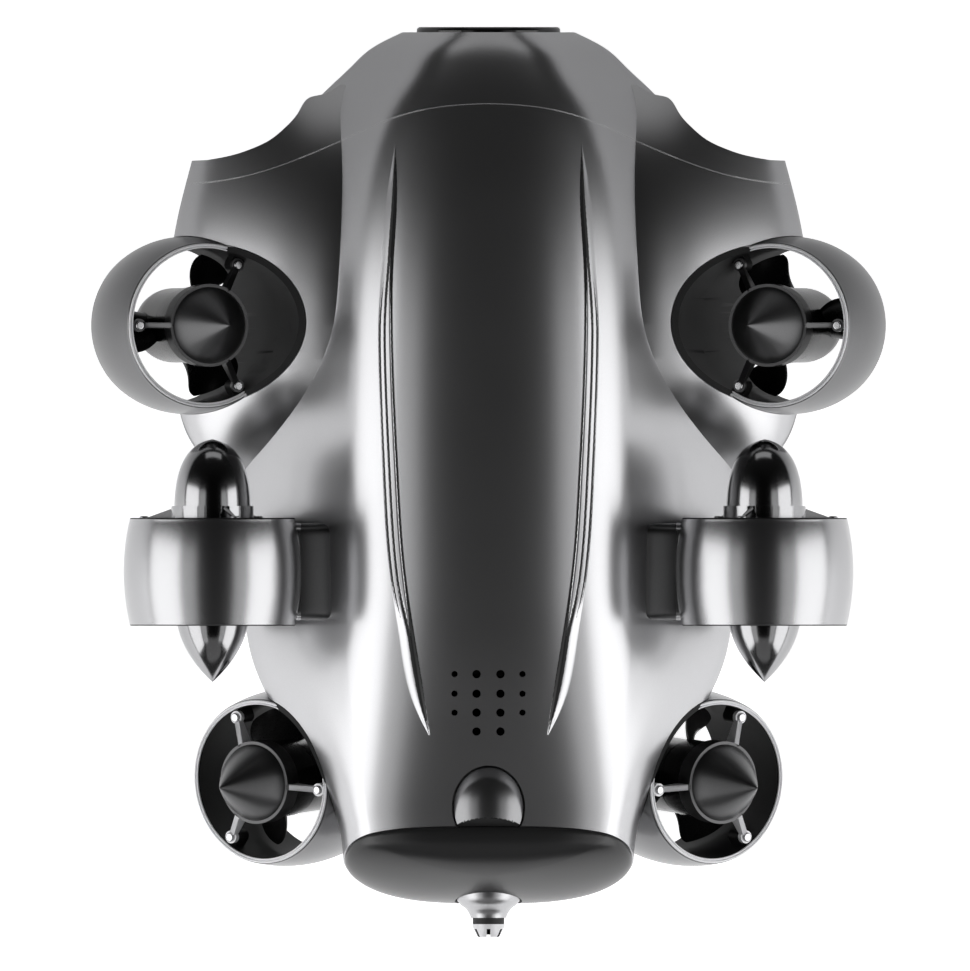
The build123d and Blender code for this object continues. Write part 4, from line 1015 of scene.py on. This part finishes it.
for node, name, slot in (("lamp_bezels", "lamp_cups", "bezel_gloss"),
                         ("lamp_reflectors", "lamp_bowls", "rim_chrome"),
                         ("lamp_glasses", "lamp_windows", "window_glass"),
                         ("belly_screws", "belly_heads", "steel"),
                         ("mount_inserts", "belly_inserts", "insert_brass")):
    smooth_copy(node, name, "hull", slot)
slot_of = {row["node"]: row["material_slot"] for row in frame["record"]["subparts"]}
for node in ("pressure_hull", "front_bulkhead", "rear_bulkhead", "battery_pack", "main_board"):
    target = frame["nodes"][node]
    target.data.materials.clear()
    target.data.materials.append(FINISHES[slot_of[node]])
discard(solid_hull)


# Studio

view = bpy.context.scene
view.view_settings.view_transform = "Standard"
FRAME_PX = (970, 971)
PX_MM = 0.418
MIDDLE = ((FRAME_PX[0] / 2 - 488.5) * PX_MM, (482 - FRAME_PX[1] / 2) * PX_MM)
lens_data = bpy.data.cameras.new("studio_camera")
lens_data.type = "ORTHO"
lens_data.ortho_scale = max(FRAME_PX) * PX_MM * MM
lens_data.clip_end = 20
eye = linked("studio_camera", lens_data)
eye.location = (MIDDLE[0] * MM, MIDDLE[1] * MM, 2.0)
view.camera = eye


def components(tree, source):
    """The X, Y and Z of one kind of texture coordinate."""
    split = tree.nodes.new("ShaderNodeSeparateXYZ")
    tree.links.new(tree.nodes.new("ShaderNodeTexCoord").outputs[source], split.inputs[0])
    return split.outputs


def smooth_ramp(tree, source, start, end, low, high):
    """A smooth step of one value between two strengths."""
    ramp = tree.nodes.new("ShaderNodeMapRange")
    ramp.interpolation_type = "SMOOTHSTEP"
    for socket, value in (("From Min", start), ("From Max", end), ("To Min", low), ("To Max", high)):
        ramp.inputs[socket].default_value = value
    tree.links.new(source, ramp.inputs["Value"])
    return ramp.outputs["Result"]


FLOOR_REACH = 6000
FLOOR_GLOW = 0.80
SKY_GLOW, SKY_HAZE = 0.90, 0.035

# Ramps of what reflections see: where each starts and ends, and its strengths there
FLOOR_POOL = (0.22, -0.08, 0.08, 0.80)
SKY_CEILING = (0.60, 0.30, 0.0, 1.0)
SKY_HORIZON = (0.3, -0.8, 0.08, 0.75)
SKY_WINDOW = (0.30, 0.75, 0.0, 0.15)


def studio_ground():
    """Pale floor: white for the eye, and in reflections a soft pool of painted light, an emission that
    fades towards the nose.
    """
    corners = [(x * FLOOR_REACH, y * FLOOR_REACH, -1) for x, y in ((-1, -1), (1, -1), (1, 1), (-1, 1))]
    ground = mesh_object("studio_floor", corners, [(0, 1, 2, 3)])
    material = bpy.data.materials.new("studio_floor")
    material.use_nodes = True
    tree = material.node_tree
    shader = tree.nodes["Principled BSDF"]
    shader.inputs["Base Color"].default_value = (0.86, 0.86, 0.87, 1)
    shader.inputs["Roughness"].default_value = 0.9
    shader.inputs["Specular IOR Level"].default_value = 0.1
    shader.inputs["Emission Color"].default_value = (1, 1, 1, 1)
    rays = tree.nodes.new("ShaderNodeLightPath").outputs
    pool = smooth_ramp(tree, components(tree, "Object")["Y"], *FLOOR_POOL)
    shine = worked_out(tree, "MULTIPLY", rays["Is Glossy Ray"], pool)
    seen = worked_out(tree, "MAXIMUM", rays["Is Camera Ray"], rays["Is Transmission Ray"])
    strength = worked_out(tree, "MULTIPLY_ADD", seen, FLOOR_GLOW, shine)
    tree.links.new(strength, shader.inputs["Emission Strength"])
    ground.data.materials.append(material)


studio_ground()


def soft_lamp(name, place, aim, size, power):
    """An oblong lamp from its place, aim and size in metres and its power in watts."""
    data = bpy.data.lights.new(name, "AREA")
    data.shape = "RECTANGLE"
    data.size, data.size_y = size
    data.energy = power
    lamp = linked(name, data)
    lamp.location = place
    direction = np.array(aim, float) - np.array(place, float)
    lamp.rotation_euler = Vector(direction).to_track_quat("-Z", "Y").to_euler()


# Lamps: place, size in metres and power in watts; those of the first table stand on both sides
PAIRED_LAMPS = (("side_lamp", (1.45, -0.74, 0.72), (2.2, 1.25), 19.5),
                ("upper_lamp", (0.95, -0.74, 1.55), (2.2, 0.55), 2.7))
END_LAMPS = (("nose_lamp", (0, 1.6, 0.6), (1.4, 0.5), 1.2), ("tail_lamp", (0, -1.4, 0.95), (1.4, 0.9), 0.8))
AIM_Z = 0.05
for side in (-1, 1):
    for name, (x, y, z), size, power in PAIRED_LAMPS:
        soft_lamp(name, (side * x, y, z), (0, y, AIM_Z), size, power)
for name, place, size, power in END_LAMPS:
    soft_lamp(name, place, (0, 0, AIM_Z), size, power)

world = bpy.data.worlds.new("studio")
view.world = world
world.use_nodes = True
air = world.node_tree
rays = air.nodes.new("ShaderNodeLightPath").outputs
heading = components(air, "Generated")
# Reflections see a dark ceiling, a horizon that is paler towards the tail, and a dim window beyond the nose
horizon = worked_out(air, "MULTIPLY", smooth_ramp(air, heading["Z"], *SKY_CEILING),
                     smooth_ramp(air, heading["Y"], *SKY_HORIZON))
horizon = worked_out(air, "ADD", horizon, smooth_ramp(air, heading["Y"], *SKY_WINDOW))
haze = worked_out(air, "MULTIPLY_ADD", rays["Is Glossy Ray"], horizon, SKY_HAZE)
strength = worked_out(air, "MULTIPLY_ADD", rays["Is Camera Ray"], SKY_GLOW, haze)
air.links.new(strength, air.nodes["Background"].inputs["Strength"])
